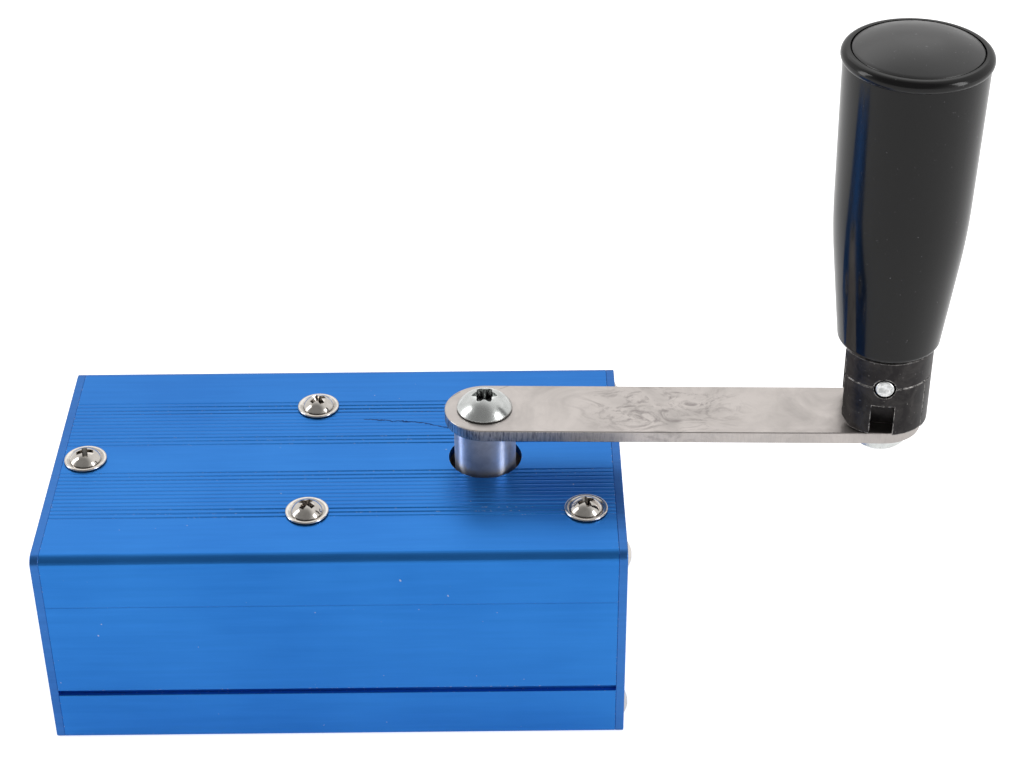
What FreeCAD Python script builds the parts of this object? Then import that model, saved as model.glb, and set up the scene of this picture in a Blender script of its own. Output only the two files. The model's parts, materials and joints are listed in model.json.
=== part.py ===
# Hand crank generator: a blue aluminium case holds an upright crank shaft, a two-stage spur
# gearbox and a small alternator. A flat crank arm carries a grip that turns on its spindle
# and folds down over the arm at a knuckle hinge.
# Sizes are in millimetres. The origin is the centre of the case's underside, +X points
# towards the grip, +Y to the back and +Z up.
import FreeCAD, Part
import math
import os

from FreeCAD import Vector

os.makedirs("parts", exist_ok=True)

# Case: two extruded shells between two end plates
case_length = 125.0
case_width = 70.0
case_height = 50.2
wall = 2.0
top_edge_radius = 2.2
base_edge_radius = 1.0
end_plate_thickness = 1.9
end_plate_edge = 0.25
lower_shell_height = 12.3
split_groove_height = 1.5
split_groove_depth = 0.9
split_lap = 2.0
lap_clearance = 0.05
waist_line_height = 37.1
waist_line_width = 0.3
waist_line_depth = 0.15
flute_count = 13
flute_pitch = 1.333
flute_width = 0.55
flute_depth = 0.16
front_flutes_y = -13.0
back_flutes_y = 13.3
crank_hole_radius = 8.05

# Screws of the case
end_screw_inset_y = 5.4
end_screw_inset_z = 4.3
end_screw_radius = 1.5
end_screw_length = 8.0
end_screw_head_radius = 2.8
end_screw_head_height = 1.1
screw_port_radius = 2.8
cover_screw_radius = 2.0
cover_screw_reach = 7.2
cover_screw_long_reach = 15.0
cover_screw_flange_radius = 4.7
cover_screw_flange_height = 0.7
cover_screw_head_radius = 3.45
cover_screw_head_height = 2.5
cover_screw_left_inset = 6.8
cover_screw_middle_x = -5.5
cover_screw_right_inset = 8.3
cover_screw_y = 19.5
base_screw_radius = 1.5
base_screw_length = 11.0
base_screw_head_radius = 2.9
hole_clearance = 0.2
# How far a cutter runs past the face that it opens, and a hole past its screw
cut_over = 1.0

# Frame inside the case
bottom_plate_thickness = 3.0
top_plate_thickness = 6.0
frame_end_gap = 0.3
frame_port_gap = 0.8
post_radius = 3.2
left_post_inset_x = 6.5
left_post_inset_y = 3.8
frame_screw_length = 12.0

# Crank shaft
crank_inset_x = 29.9
hub_radius = 6.75
hub_rise = 10.2
hub_sink = 3.6
top_journal_radius = 6.0
top_bush_length = 6.2
top_bush_wall = 2.0
top_boss_radius = 11.0
shaft_radius = 5.0
gear_seat_radius = 6.0
bottom_journal_radius = 4.0
bush_wall = 2.0
bush_flange_width = 1.5
bush_flange_height = 1.5
running_clearance = 0.03
end_play = 0.2
spigot_radius = 4.6
spigot_flat = 3.6

# Gears: involute teeth
gear_module = 0.8
crank_gear_teeth = 60
layshaft_pinion_teeth = 15
layshaft_gear_teeth = 58
rotor_pinion_teeth = 15
pressure_angle = 20.0
addendum_factor = 0.9
dedendum_factor = 1.25
backlash = 0.1
crank_gear_rise = 4.0
crank_gear_width = 7.0
crank_gear_hub_radius = 9.0
crank_gear_hub_height = 4.5
gear_pin_radius = 1.5
web_depth = 1.4
web_rim = 3.2
pinion_overhang = 0.6
layshaft_radius = 3.0
layshaft_gear_width = 5.0
layshaft_hub_radius = 6.0
layshaft_hub_height = 4.5
layshaft_gear_gap = 2.4

# Alternator
generator_base_thickness = 3.0
generator_base_corner = 4.0
generator_screw_inset = 2.8
generator_screw_radius = 1.25
generator_screw_head_radius = 2.2
generator_screw_head_height = 1.4
housing_radius = 20.0
housing_wall = 1.6
housing_height = 18.6
housing_top_thickness = 2.4
stator_yoke = 3.0
stator_height = 10.5
stator_base_gap = 2.6
stator_teeth = 9
tooth_width = 3.2
shoe_width = 5.0
shoe_depth = 1.2
air_gap = 0.6
magnet_radius = 8.6
coil_thickness = 1.3
coil_shoe_gap = 0.9
rotor_shaft_radius = 2.5
rotor_bush_wall = 1.5

# Output sockets and rectifier board
socket_spacing = 19.0
socket_height = 26.0
socket_bore_radius = 2.0
socket_bore_depth = 12.0
contact_radius = 3.2
contact_length = 13.4
contact_tail_radius = 0.9
contact_tail_length = 2.9
socket_flange_radius = 5.6
socket_flange_height = 2.5
socket_body_radius = 4.3
socket_body_length = 5.2
socket_nut_width = 11.0
socket_nut_height = 2.4
board_thickness = 1.6
board_post_gap = 1.0
board_height = 31.0
rectifier_side = 9.6
rectifier_thickness = 3.2
rectifier_height = 30.0
capacitor_radius = 4.6
capacitor_length = 7.4
capacitor_height = 9.0
bracket_thickness = 1.2
bracket_foot = 7.0
bracket_width = 12.0
bracket_height = 6.0
lead_radius = 0.6
lead_spacing = 4.0
lead_height = 13.5

# Crank arm
arm_turn = -1.5
crank_throw = 86.0
arm_width = 17.4
arm_thickness = 2.8
arm_edge = 0.25
arm_screw_radius = 3.0
arm_screw_reach = 12.0
arm_screw_head_radius = 6.05
arm_screw_head_height = 3.9
arm_screw_socket_radius = 2.6
arm_screw_socket_depth = 2.2

# Knuckle hinge of the grip
knuckle_turn = -7.4
knuckle_radius = 9.85
knuckle_height = 18.7
knuckle_seat_gap = 0.3
hinge_height = 12.1
hinge_pin_radius = 2.0
hinge_pin_reach = 10.3
fold_limit = 85.0
fold_lift_per_radian = 5.2
tongue_half_width = 4.9
lug_half_width = 3.5
lug_radius = 4.1
tongue_back_flat = 7.0
tongue_clearance = 0.2
fork_gap = 0.1
fork_pocket_reach = 7.2
fork_corner = 1.6
notch_width = 4.9
notch_height = 7.6
scribe_width = 0.3
scribe_depth = 0.15
neck_radius = 8.6
neck_height = 15.3
neck_pocket_reach = 6.2
knuckle_screw_radius = 3.0
knuckle_screw_reach = 8.0
knuckle_screw_head_radius = 5.85
knuckle_screw_head_height = 6.0
knuckle_screw_skirt = 3.2

# Grip
spindle_radius = 4.0
spindle_stub_radius = 3.0
spindle_stub_length = 7.0
spindle_tail_length = 6.4
grip_height = 67.3
grip_base_radius = 10.9
grip_base_fillet = 1.2
grip_waist_radius = 13.8
grip_waist_rise = 27.0
grip_rim_radius = 14.6
grip_bead_radius = 15.1
grip_bead_height = 2.8
grip_web_depth = 8.6
grip_counterbore_radius = 10.5
cap_radius = 13.0
cap_gap = 0.25
cap_seat_depth = 1.9
cap_edge_height = 1.9
cap_dome = 3.1
washer_radius = 8.0
washer_thickness = 1.4
nut_width = 10.0
nut_height = 4.6

# Levels and places that follow from the sizes above
shell_length = case_length - 2.0 * end_plate_thickness
shell_end = shell_length / 2.0
case_end = case_length / 2.0
case_side = case_width / 2.0
crank_x = case_end - crank_inset_x
inner_side = case_side - wall
top_wall_under = case_height - wall
bottom_plate_top = wall + bottom_plate_thickness
top_plate_under = top_wall_under - top_plate_thickness
end_screw_y = case_side - end_screw_inset_y
end_screw_heights = [end_screw_inset_z, case_height - end_screw_inset_z]
frame_side = end_screw_y - screw_port_radius - frame_port_gap
left_post_x = -shell_end + left_post_inset_x
left_post_y = frame_side - left_post_inset_y
left_posts = [(left_post_x, -left_post_y), (left_post_x, left_post_y)]
cover_screw_left_x = -case_end + cover_screw_left_inset
cover_screw_right_x = case_end - cover_screw_right_inset
right_posts = [(cover_screw_right_x, -cover_screw_y), (cover_screw_right_x, cover_screw_y)]
post_places = left_posts + right_posts
short_cover_screws = [(cover_screw_left_x, 0.0), (cover_screw_middle_x, -cover_screw_y),
                      (cover_screw_middle_x, cover_screw_y)]
cover_screw_places = short_cover_screws + right_posts
layshaft_x = crank_x - gear_module * (crank_gear_teeth + layshaft_pinion_teeth) / 2.0
rotor_x = layshaft_x - gear_module * (layshaft_gear_teeth + rotor_pinion_teeth) / 2.0
arm_under = case_height + hub_rise
arm_top = arm_under + arm_thickness
hub_under = top_wall_under - hub_sink
top_bush_top = hub_under - end_play
top_bush_under = top_bush_top - top_bush_length
seat_under = bottom_plate_top + bush_flange_height + end_play
crank_gear_under = bottom_plate_top + crank_gear_rise
crank_gear_top = crank_gear_under + crank_gear_width
generator_screw_place = housing_radius - generator_screw_inset
housing_under = bottom_plate_top + generator_base_thickness
housing_top = housing_under + housing_height
stator_under = housing_under + stator_base_gap
layshaft_gear_under = housing_top + layshaft_gear_gap
layshaft_gear_top = layshaft_gear_under + layshaft_gear_width
board_face = -case_end - socket_flange_height + contact_length + hole_clearance
board_back = board_face + board_thickness
board_side = left_post_y - post_radius - board_post_gap
grip_axis_x = crank_x + crank_throw * math.cos(math.radians(arm_turn))
grip_axis_y = crank_throw * math.sin(math.radians(arm_turn))
pin_level = arm_top + hinge_height
fork_under = arm_top + knuckle_seat_gap
fork_top = fork_under + knuckle_height - knuckle_seat_gap
neck_top = fork_top + neck_height
fold_lift = fold_lift_per_radian * math.radians(fold_limit)
lug_top_centre = pin_level + fold_lift + 0.1
lug_top = lug_top_centre + lug_radius
grip_under = fork_top + knuckle_seat_gap
grip_top = grip_under + grip_height
cap_seat = grip_top - cap_seat_depth
web_top = grip_top - grip_web_depth


# Basic shapes
def disc(radius, bottom, top, x=0.0, y=0.0):
    return Part.makeCylinder(radius, top - bottom, Vector(x, y, bottom))


def rod_x(radius, x_from, x_to, y, z):
    return Part.makeCylinder(radius, x_to - x_from, Vector(x_from, y, z), Vector(1, 0, 0))


def block(x_from, x_to, y_from, y_to, z_from, z_to):
    return Part.makeBox(x_to - x_from, y_to - y_from, z_to - z_from, Vector(x_from, y_from, z_from))


def prism(outline, rise):
    points = [Vector(*point) for point in outline]
    points.append(points[0])
    return Part.Face(Part.makePolygon(points)).extrude(rise)


def hexagon(width, bottom, top, x=0.0, y=0.0):
    corner = width / math.sqrt(3.0)
    angles = [math.radians(60.0 * side) for side in range(6)]
    outline = [(x + corner * math.cos(a), y + corner * math.sin(a), bottom) for a in angles]
    return prism(outline, Vector(0, 0, top - bottom))


def turned(profile):
    points = [Vector(radius, 0.0, height) for radius, height in profile]
    points.append(points[0])
    face = Part.Face(Part.makePolygon(points))
    return face.revolve(Vector(0, 0, 0), Vector(0, 0, 1), 360)


def moved(shape, x=0.0, y=0.0, z=0.0):
    copy = shape.copy()
    copy.translate(Vector(x, y, z))
    return copy


def long_edges(shape, z_level, side):
    chosen = []
    for edge in shape.Edges:
        middle = edge.CenterOfMass
        runs_along_x = edge.BoundBox.XLength > case_length / 2.0
        if runs_along_x and abs(middle.z - z_level) < 0.01 and abs(abs(middle.y) - side) < 0.01:
            chosen.append(edge)
    return chosen


def save(name, shapes):
    if not isinstance(shapes, list):
        shapes = [shapes]
    solids = [solid for shape in shapes for solid in shape.Solids]
    result = solids[0] if len(solids) == 1 else Part.makeCompound(solids)
    result.exportStep("parts/" + name + ".step")


# Screws, all drawn pointing down with the head's underside at height 0
def cross_recess(length, width, bottom, top):
    bar = block(-length / 2.0, length / 2.0, -width / 2.0, width / 2.0, bottom, top)
    across = block(-width / 2.0, width / 2.0, -length / 2.0, length / 2.0, bottom, top)
    return bar.fuse(across)


def domed_head(radius, height):
    sphere_radius = (radius ** 2 + height ** 2) / (2.0 * height)
    ball = Part.makeSphere(sphere_radius, Vector(0, 0, height - sphere_radius))
    return ball.common(disc(radius, 0.0, height))


def cover_screw(reach):
    flange = disc(cover_screw_flange_radius, 0.0, cover_screw_flange_height)
    dome_height = cover_screw_head_height - cover_screw_flange_height
    dome = moved(domed_head(cover_screw_head_radius, dome_height), z=cover_screw_flange_height)
    shank = disc(cover_screw_radius, -reach, 0.0)
    screw = flange.fuse([dome, shank]).removeSplitter()
    recess_length = cover_screw_head_radius * 1.25
    recess_width = cover_screw_head_radius * 0.35
    return screw.cut(cross_recess(recess_length, recess_width, cover_screw_flange_height,
                                  cover_screw_head_height + cut_over))


def end_screw():
    head = domed_head(end_screw_head_radius, end_screw_head_height)
    shank = disc(end_screw_radius, -end_screw_length, 0.0)
    recess = cross_recess(end_screw_head_radius * 1.2, end_screw_head_radius * 0.3,
                          end_screw_head_height * 0.35, end_screw_head_height + cut_over)
    return head.fuse(shank).removeSplitter().cut(recess)


def countersunk_screw(length):
    cone_depth = base_screw_head_radius - base_screw_radius
    profile = [(0.0, 0.0), (base_screw_head_radius, 0.0), (base_screw_radius, -cone_depth),
               (base_screw_radius, -length), (0.0, -length)]
    recess = cross_recess(base_screw_head_radius, base_screw_radius * 0.5, -cone_depth * 0.7, 1.0)
    return turned(profile).cut(recess)


def countersink():
    cone_depth = base_screw_head_radius - base_screw_radius
    through = wall + top_plate_thickness
    return turned([(0.0, 0.0), (base_screw_head_radius, 0.0), (base_screw_radius, -cone_depth),
                   (base_screw_radius, -through), (0.0, -through)])


# Case
def flutes():
    cutters = []
    for middle in (front_flutes_y, back_flutes_y):
        for number in range(flute_count):
            y = middle + (number - (flute_count - 1) / 2.0) * flute_pitch
            outline = [(-case_end, y - flute_width / 2.0, case_height),
                       (-case_end, y + flute_width / 2.0, case_height),
                       (-case_end, y, case_height - flute_depth)]
            cutters.append(prism(outline, Vector(case_length, 0, 0)))
    return cutters


def screw_ports(height):
    ports = []
    holes = []
    for side in (-1.0, 1.0):
        y = side * end_screw_y
        ports.append(rod_x(screw_port_radius, -shell_end, shell_end, y, height))
        holes.append(rod_x(end_screw_radius, -case_end, case_end, y, height))
    return ports, holes


def make_upper_shell():
    tongue_side = case_side - split_groove_depth - lap_clearance
    tongue_under = lower_shell_height - split_lap
    outer_under = lower_shell_height + split_groove_height
    outer = block(-shell_end, shell_end, -case_side, case_side, outer_under, case_height)
    outer = outer.makeFillet(top_edge_radius, long_edges(outer, case_height, case_side))
    tongue = block(-shell_end, shell_end, -tongue_side, tongue_side, tongue_under, outer_under)
    cavity = block(-case_end, case_end, -inner_side, inner_side, 0.0, top_wall_under)
    ports, port_holes = screw_ports(end_screw_heights[1])
    shell = outer.fuse(tongue).cut(cavity).fuse(ports).removeSplitter()
    cutters = port_holes + flutes()
    cutters.append(disc(crank_hole_radius, top_plate_under, case_height + cut_over, crank_x))
    for x, y in cover_screw_places:
        cutters.append(disc(cover_screw_radius + hole_clearance, top_plate_under,
                            case_height + cut_over, x, y))
    for side in (-1.0, 1.0):
        outline = [(-case_end, side * case_side, waist_line_height - waist_line_width / 2.0),
                   (-case_end, side * case_side, waist_line_height + waist_line_width / 2.0),
                   (-case_end, side * (case_side - waist_line_depth), waist_line_height)]
        cutters.append(prism(outline, Vector(case_length, 0, 0)))
    save("upper_shell", shell.cut(cutters))


def make_lower_shell():
    rebate_side = case_side - split_groove_depth
    outer = block(-shell_end, shell_end, -case_side, case_side, 0.0, lower_shell_height)
    outer = outer.makeFillet(base_edge_radius, long_edges(outer, 0.0, case_side))
    cavity = block(-case_end, case_end, -inner_side, inner_side, wall, case_height)
    rebate = block(-case_end, case_end, -rebate_side, rebate_side,
                   lower_shell_height - split_lap, case_height)
    ports, port_holes = screw_ports(end_screw_heights[0])
    shell = outer.cut([cavity, rebate]).fuse(ports).removeSplitter()
    cutters = list(port_holes)
    flipped = countersink()
    flipped.rotate(Vector(0, 0, 0), Vector(1, 0, 0), 180)
    for x, y in post_places:
        cutters.append(moved(flipped, x, y))
    save("lower_shell", shell.cut(cutters))


def end_plate(side):
    x_from = shell_end if side > 0 else -case_end
    x_to = x_from + end_plate_thickness
    plate = block(x_from, x_to, -case_side, case_side, 0.0, case_height)
    corners = [edge for edge in plate.Edges if edge.BoundBox.XLength > end_plate_thickness / 2.0]
    upper = [edge for edge in corners if edge.CenterOfMass.z > case_height / 2.0]
    plate = plate.makeFillet(top_edge_radius, upper)
    lower = [edge for edge in plate.Edges if edge.BoundBox.XLength > end_plate_thickness / 2.0
             and edge.CenterOfMass.z < base_edge_radius]
    plate = plate.makeFillet(base_edge_radius, lower)
    rim = [edge for edge in plate.Edges if edge.BoundBox.XLength < 0.01
           and abs(edge.CenterOfMass.x - side * case_end) < 0.01]
    plate = plate.makeChamfer(end_plate_edge, rim)
    holes = [rod_x(end_screw_radius + hole_clearance, x_from - cut_over, x_to + cut_over, y, z)
             for y in (-end_screw_y, end_screw_y) for z in end_screw_heights]
    return plate.cut(holes)


def make_end_plates():
    save("right_end_plate", end_plate(1.0))
    openings = [rod_x(socket_body_radius, -case_end - cut_over, -shell_end + cut_over, y,
                      socket_height)
                for y in (-socket_spacing / 2.0, socket_spacing / 2.0)]
    save("left_end_plate", end_plate(-1.0).cut(openings))
    for side, name in ((-1.0, "left"), (1.0, "right")):
        screw = end_screw()
        screw.rotate(Vector(0, 0, 0), Vector(0, 1, 0), side * 90)
        screws = [moved(screw, side * case_end, y, z)
                  for y in (-end_screw_y, end_screw_y) for z in end_screw_heights]
        save("end_plate_screws_" + name, screws)


# Each cover screw stopped at its own angle
cover_screw_turns = [12.0, 55.0, 35.0, 20.0, 70.0]


def make_case_screws():
    screws = []
    for place, turn in zip(cover_screw_places, cover_screw_turns):
        reach = cover_screw_long_reach if place in right_posts else cover_screw_reach
        screw = cover_screw(reach)
        screw.rotate(Vector(0, 0, 0), Vector(0, 0, 1), turn)
        screws.append(moved(screw, place[0], place[1], case_height))
    save("top_cover_screws", screws)
    base_screw = countersunk_screw(base_screw_length)
    base_screw.rotate(Vector(0, 0, 0), Vector(1, 0, 0), 180)
    save("base_screws", [moved(base_screw, x, y) for x, y in post_places])


# Frame
def flanged_bush(bore, bottom, top, x, flange_up):
    body = disc(bore + bush_wall, bottom, top, x)
    if flange_up:
        flange = disc(bore + bush_wall + bush_flange_width, top, top + bush_flange_height, x)
    else:
        flange = disc(bore + bush_wall + bush_flange_width, bottom - bush_flange_height, bottom, x)
    hole = disc(bore + running_clearance, bottom - bush_flange_height - cut_over,
                top + bush_flange_height + cut_over, x)
    return body.fuse(flange).removeSplitter().cut(hole)


def make_frame():
    frame_end = shell_end - frame_end_gap
    plate = block(-frame_end, frame_end, -frame_side, frame_side, wall, bottom_plate_top)
    holes = [disc(bottom_journal_radius + bush_wall, 0.0, bottom_plate_top + cut_over, crank_x),
             disc(layshaft_radius + bush_wall, 0.0, bottom_plate_top + cut_over, layshaft_x)]
    holes += [disc(base_screw_radius, 0.0, bottom_plate_top + cut_over, x, y) for x, y in post_places]
    holes += [disc(generator_screw_radius, 0.0, bottom_plate_top + cut_over, x, y)
              for x, y in generator_screw_places()]
    save("frame_bottom_plate", plate.cut(holes))

    plate = block(-frame_end, frame_end, -frame_side, frame_side, top_plate_under,
                  top_wall_under)
    boss = disc(top_boss_radius, top_bush_under, top_plate_under, crank_x)
    plate = plate.fuse(boss).removeSplitter()
    holes = [disc(crank_hole_radius, top_bush_top, case_height, crank_x),
             disc(top_journal_radius + top_bush_wall, 0.0, case_height, crank_x),
             disc(layshaft_radius + bush_wall, 0.0, case_height, layshaft_x)]
    holes += [disc(cover_screw_radius, 0.0, case_height, x, y) for x, y in cover_screw_places]
    holes += [moved(countersink(), x, y, top_wall_under) for x, y in left_posts]
    save("frame_top_plate", plate.cut(holes))

    for number, (x, y) in enumerate(post_places, 1):
        post = disc(post_radius, bottom_plate_top, top_plate_under, x, y)
        lower_hole = disc(base_screw_radius, 0.0, base_screw_length + cut_over, x, y)
        if (x, y) in right_posts:
            upper_hole = disc(cover_screw_radius, case_height - cover_screw_long_reach - cut_over,
                              case_height, x, y)
        else:
            upper_hole = disc(base_screw_radius, top_wall_under - frame_screw_length - cut_over,
                              case_height, x, y)
        save("frame_post_" + str(number), post.cut([lower_hole, upper_hole]))
    screw = countersunk_screw(frame_screw_length)
    save("frame_screws", [moved(screw, x, y, top_wall_under) for x, y in left_posts])

    save("crank_bush_bottom", flanged_bush(bottom_journal_radius, wall, bottom_plate_top,
                                           crank_x, True))
    top_bush = disc(top_journal_radius + top_bush_wall, top_bush_under, top_bush_top, crank_x)
    bore = disc(top_journal_radius + running_clearance, 0.0, case_height, crank_x)
    save("crank_bush_top", top_bush.cut(bore))
    save("layshaft_bush_bottom", flanged_bush(layshaft_radius, wall, bottom_plate_top,
                                              layshaft_x, True))
    save("layshaft_bush_top", flanged_bush(layshaft_radius, top_plate_under, top_wall_under,
                                           layshaft_x, False))


# Gears
def involute(angle):
    return math.tan(angle) - angle


def polar(radius, angle):
    return Vector(radius * math.cos(angle), radius * math.sin(angle), 0.0)


def gear_blank(teeth, first_tooth, bottom, top):
    pitch = gear_module * teeth / 2.0
    base = pitch * math.cos(math.radians(pressure_angle))
    tip = pitch + addendum_factor * gear_module
    root = pitch - dedendum_factor * gear_module
    tooth_step = 2.0 * math.pi / teeth
    half_tooth = (math.pi * gear_module / 2.0 - backlash) / (2.0 * pitch)
    half_tooth += involute(math.radians(pressure_angle))
    start = max(base, root)
    radii = [start + (tip - start) * share for share in (0.0, 0.15, 0.4, 0.7, 1.0)]
    halves = [half_tooth - involute(math.acos(base / radius)) for radius in radii]
    edges = []
    for number in range(teeth):
        middle = first_tooth + number * tooth_step
        foot = polar(root, middle - halves[0])
        rising = [polar(r, middle - h) for r, h in zip(radii, halves)]
        falling = [polar(r, middle + h) for r, h in zip(reversed(radii), reversed(halves))]
        heel = polar(root, middle + halves[0])
        gap_middle = polar(root, middle + tooth_step / 2.0)
        next_foot = polar(root, middle + tooth_step - halves[0])
        if root < start:
            edges.append(Part.makeLine(foot, rising[0]))
        edges.append(flank(rising))
        edges.append(Part.Arc(rising[-1], polar(tip, middle), falling[0]).toShape())
        edges.append(flank(falling))
        if root < start:
            edges.append(Part.makeLine(falling[-1], heel))
        edges.append(Part.Arc(heel, gap_middle, next_foot).toShape())
    face = Part.Face(Part.Wire(edges))
    return moved(face.extrude(Vector(0, 0, top - bottom)), z=bottom)


def flank(points):
    curve = Part.BSplineCurve()
    curve.interpolate(points)
    return curve.toShape()


def webbed(gear, teeth, hub_radius_here, bottom, top):
    rim = gear_module * teeth / 2.0 - web_rim
    lower_recess = disc(rim, bottom - cut_over, bottom + web_depth)
    ring = lower_recess.fuse(disc(rim, top - web_depth, top + cut_over))
    return gear.cut(ring.cut(disc(hub_radius_here, bottom - cut_over, top + cut_over)))


def gear_pin_level():
    return crank_gear_top + crank_gear_hub_height / 2.0


def make_crank_train():
    seat_top = crank_gear_top + crank_gear_hub_height
    gear = gear_blank(crank_gear_teeth, 0.0, crank_gear_under, crank_gear_top)
    gear = webbed(gear, crank_gear_teeth, crank_gear_hub_radius, crank_gear_under, crank_gear_top)
    gear = gear.fuse(disc(crank_gear_hub_radius, crank_gear_top, seat_top)).removeSplitter()
    gear = gear.cut([disc(gear_seat_radius, 0.0, case_height),
                     rod_x(gear_pin_radius, -case_end, case_end, 0.0, gear_pin_level())])
    save("crank_gear", moved(gear, crank_x))
    pin = rod_x(gear_pin_radius, -crank_gear_hub_radius, crank_gear_hub_radius, 0.0,
                gear_pin_level())
    save("crank_gear_pin", moved(pin, crank_x))

    arm_seat = spigot(arm_under, arm_top - end_play, 0.0)
    arm_seat.rotate(Vector(0, 0, 0), Vector(0, 0, 1), arm_turn)
    shaft = disc(bottom_journal_radius, wall + end_play, seat_under)
    shaft = shaft.fuse([disc(gear_seat_radius, seat_under, seat_top),
                        disc(shaft_radius, seat_top, top_bush_under - end_play),
                        disc(top_journal_radius, top_bush_under - end_play, hub_under),
                        disc(hub_radius, hub_under, arm_under),
                        arm_seat]).removeSplitter()
    shaft = shaft.cut([rod_x(gear_pin_radius, -case_end, case_end, 0.0, gear_pin_level()),
                       disc(arm_screw_radius, arm_top - arm_screw_reach - cut_over,
                            arm_top + cut_over)])
    save("crank_shaft", moved(shaft, crank_x))


def spigot(bottom, top, clearance):
    barrel = disc(spigot_radius + clearance, bottom, top)
    flat = spigot_flat + clearance
    return barrel.common(block(-case_end, case_end, -flat, flat, bottom, top))


def make_layshaft():
    pinion_under = crank_gear_under - pinion_overhang
    pinion_top = crank_gear_top + pinion_overhang
    shaft = disc(layshaft_radius, wall + end_play, top_wall_under - end_play)
    save("layshaft", moved(shaft, layshaft_x))
    bore = disc(layshaft_radius, 0.0, case_height)
    half_step = math.pi / layshaft_pinion_teeth
    pinion = gear_blank(layshaft_pinion_teeth, half_step, pinion_under, pinion_top).cut(bore)
    save("layshaft_pinion", moved(pinion, layshaft_x))
    gear = gear_blank(layshaft_gear_teeth, 0.0, layshaft_gear_under, layshaft_gear_top)
    gear = webbed(gear, layshaft_gear_teeth, layshaft_hub_radius, layshaft_gear_under,
                  layshaft_gear_top)
    hub = disc(layshaft_hub_radius, layshaft_gear_under - layshaft_hub_height, layshaft_gear_under)
    save("layshaft_gear", moved(gear.fuse(hub).removeSplitter().cut(bore), layshaft_x))


# Alternator
def generator_screw_places():
    places = []
    for x in (-generator_screw_place, generator_screw_place):
        for y in (-generator_screw_place, generator_screw_place):
            places.append((rotor_x + x, y))
    return places


def rotor_bush(bottom, top):
    bush = disc(rotor_shaft_radius + rotor_bush_wall, bottom, top, rotor_x)
    return bush.cut(disc(rotor_shaft_radius + running_clearance, 0.0, case_height, rotor_x))


def make_generator_housing():
    base = block(rotor_x - housing_radius, rotor_x + housing_radius, -housing_radius,
                 housing_radius, bottom_plate_top, housing_under)
    uprights = [edge for edge in base.Edges
                if edge.BoundBox.ZLength > generator_base_thickness / 2.0]
    base = base.makeFillet(generator_base_corner, uprights)
    bush_hole = disc(rotor_shaft_radius + rotor_bush_wall, 0.0, case_height, rotor_x)
    holes = [disc(generator_screw_radius, 0.0, case_height, x, y)
             for x, y in generator_screw_places()]
    save("generator_base", base.cut(holes + [bush_hole]))

    housing = disc(housing_radius, housing_under, housing_top, rotor_x)
    inside = disc(housing_radius - housing_wall, housing_under,
                  housing_top - housing_top_thickness, rotor_x)
    lead_holes = [rod_x(lead_radius + hole_clearance, -case_end, rotor_x, y, lead_height)
                  for y in (-lead_spacing, 0.0, lead_spacing)]
    save("generator_housing", housing.cut([inside, bush_hole] + lead_holes))

    screw = domed_head(generator_screw_head_radius, generator_screw_head_height)
    screw = screw.fuse(disc(generator_screw_radius, wall - housing_under, 0.0)).removeSplitter()
    save("generator_screws", [moved(screw, x, y, housing_under)
                              for x, y in generator_screw_places()])
    save("rotor_bush_bottom", rotor_bush(bottom_plate_top, housing_under))
    save("rotor_bush_top", rotor_bush(housing_top - housing_top_thickness, housing_top))


def make_stator():
    yoke_outer = housing_radius - housing_wall
    yoke_inner = yoke_outer - stator_yoke
    bore = magnet_radius + air_gap
    stator_top = stator_under + stator_height
    core = disc(yoke_outer, stator_under, stator_top).cut(disc(yoke_inner, 0.0, case_height))
    coils = []
    teeth = []
    coil_outer = yoke_inner - 0.1
    coil_inner = bore + shoe_depth + coil_shoe_gap
    wide = tooth_width / 2.0 + coil_thickness
    for number in range(stator_teeth):
        angle = 360.0 * number / stator_teeth
        neck = block(bore, yoke_inner + 0.5, -tooth_width / 2.0, tooth_width / 2.0,
                     stator_under, stator_top)
        shoe = block(bore - cut_over, bore + shoe_depth, -shoe_width / 2.0, shoe_width / 2.0,
                     stator_under, stator_top)
        coil = block(coil_inner, coil_outer, -wide, wide, stator_under - coil_thickness,
                     stator_top + coil_thickness)
        coil = coil.cut(block(bore, yoke_outer, -tooth_width / 2.0, tooth_width / 2.0,
                              stator_under, stator_top))
        # The two outer corners are cut back where they would meet the round yoke
        coil = coil.common(disc(coil_outer, 0.0, case_height))
        for shape in (neck, shoe, coil):
            shape.rotate(Vector(0, 0, 0), Vector(0, 0, 1), angle)
        teeth += [neck, shoe]
        coils.append(moved(coil, rotor_x))
    core = core.fuse(teeth).cut(disc(bore, 0.0, case_height)).removeSplitter()
    save("stator_core", moved(core, rotor_x))
    save("stator_coils", coils)


def make_rotor():
    pinion_under = layshaft_gear_under - pinion_overhang
    pinion_top = layshaft_gear_top + pinion_overhang
    shaft = disc(rotor_shaft_radius, bottom_plate_top + end_play, pinion_top + end_play)
    save("rotor_shaft", moved(shaft, rotor_x))
    bore = disc(rotor_shaft_radius, 0.0, case_height)
    magnet = disc(magnet_radius, stator_under - 0.5, stator_under + stator_height + 0.5)
    save("rotor_magnet", moved(magnet.cut(bore), rotor_x))
    half_step = math.pi / rotor_pinion_teeth
    pinion = gear_blank(rotor_pinion_teeth, half_step, pinion_under, pinion_top)
    save("rotor_pinion", moved(pinion.cut(bore), rotor_x))


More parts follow.
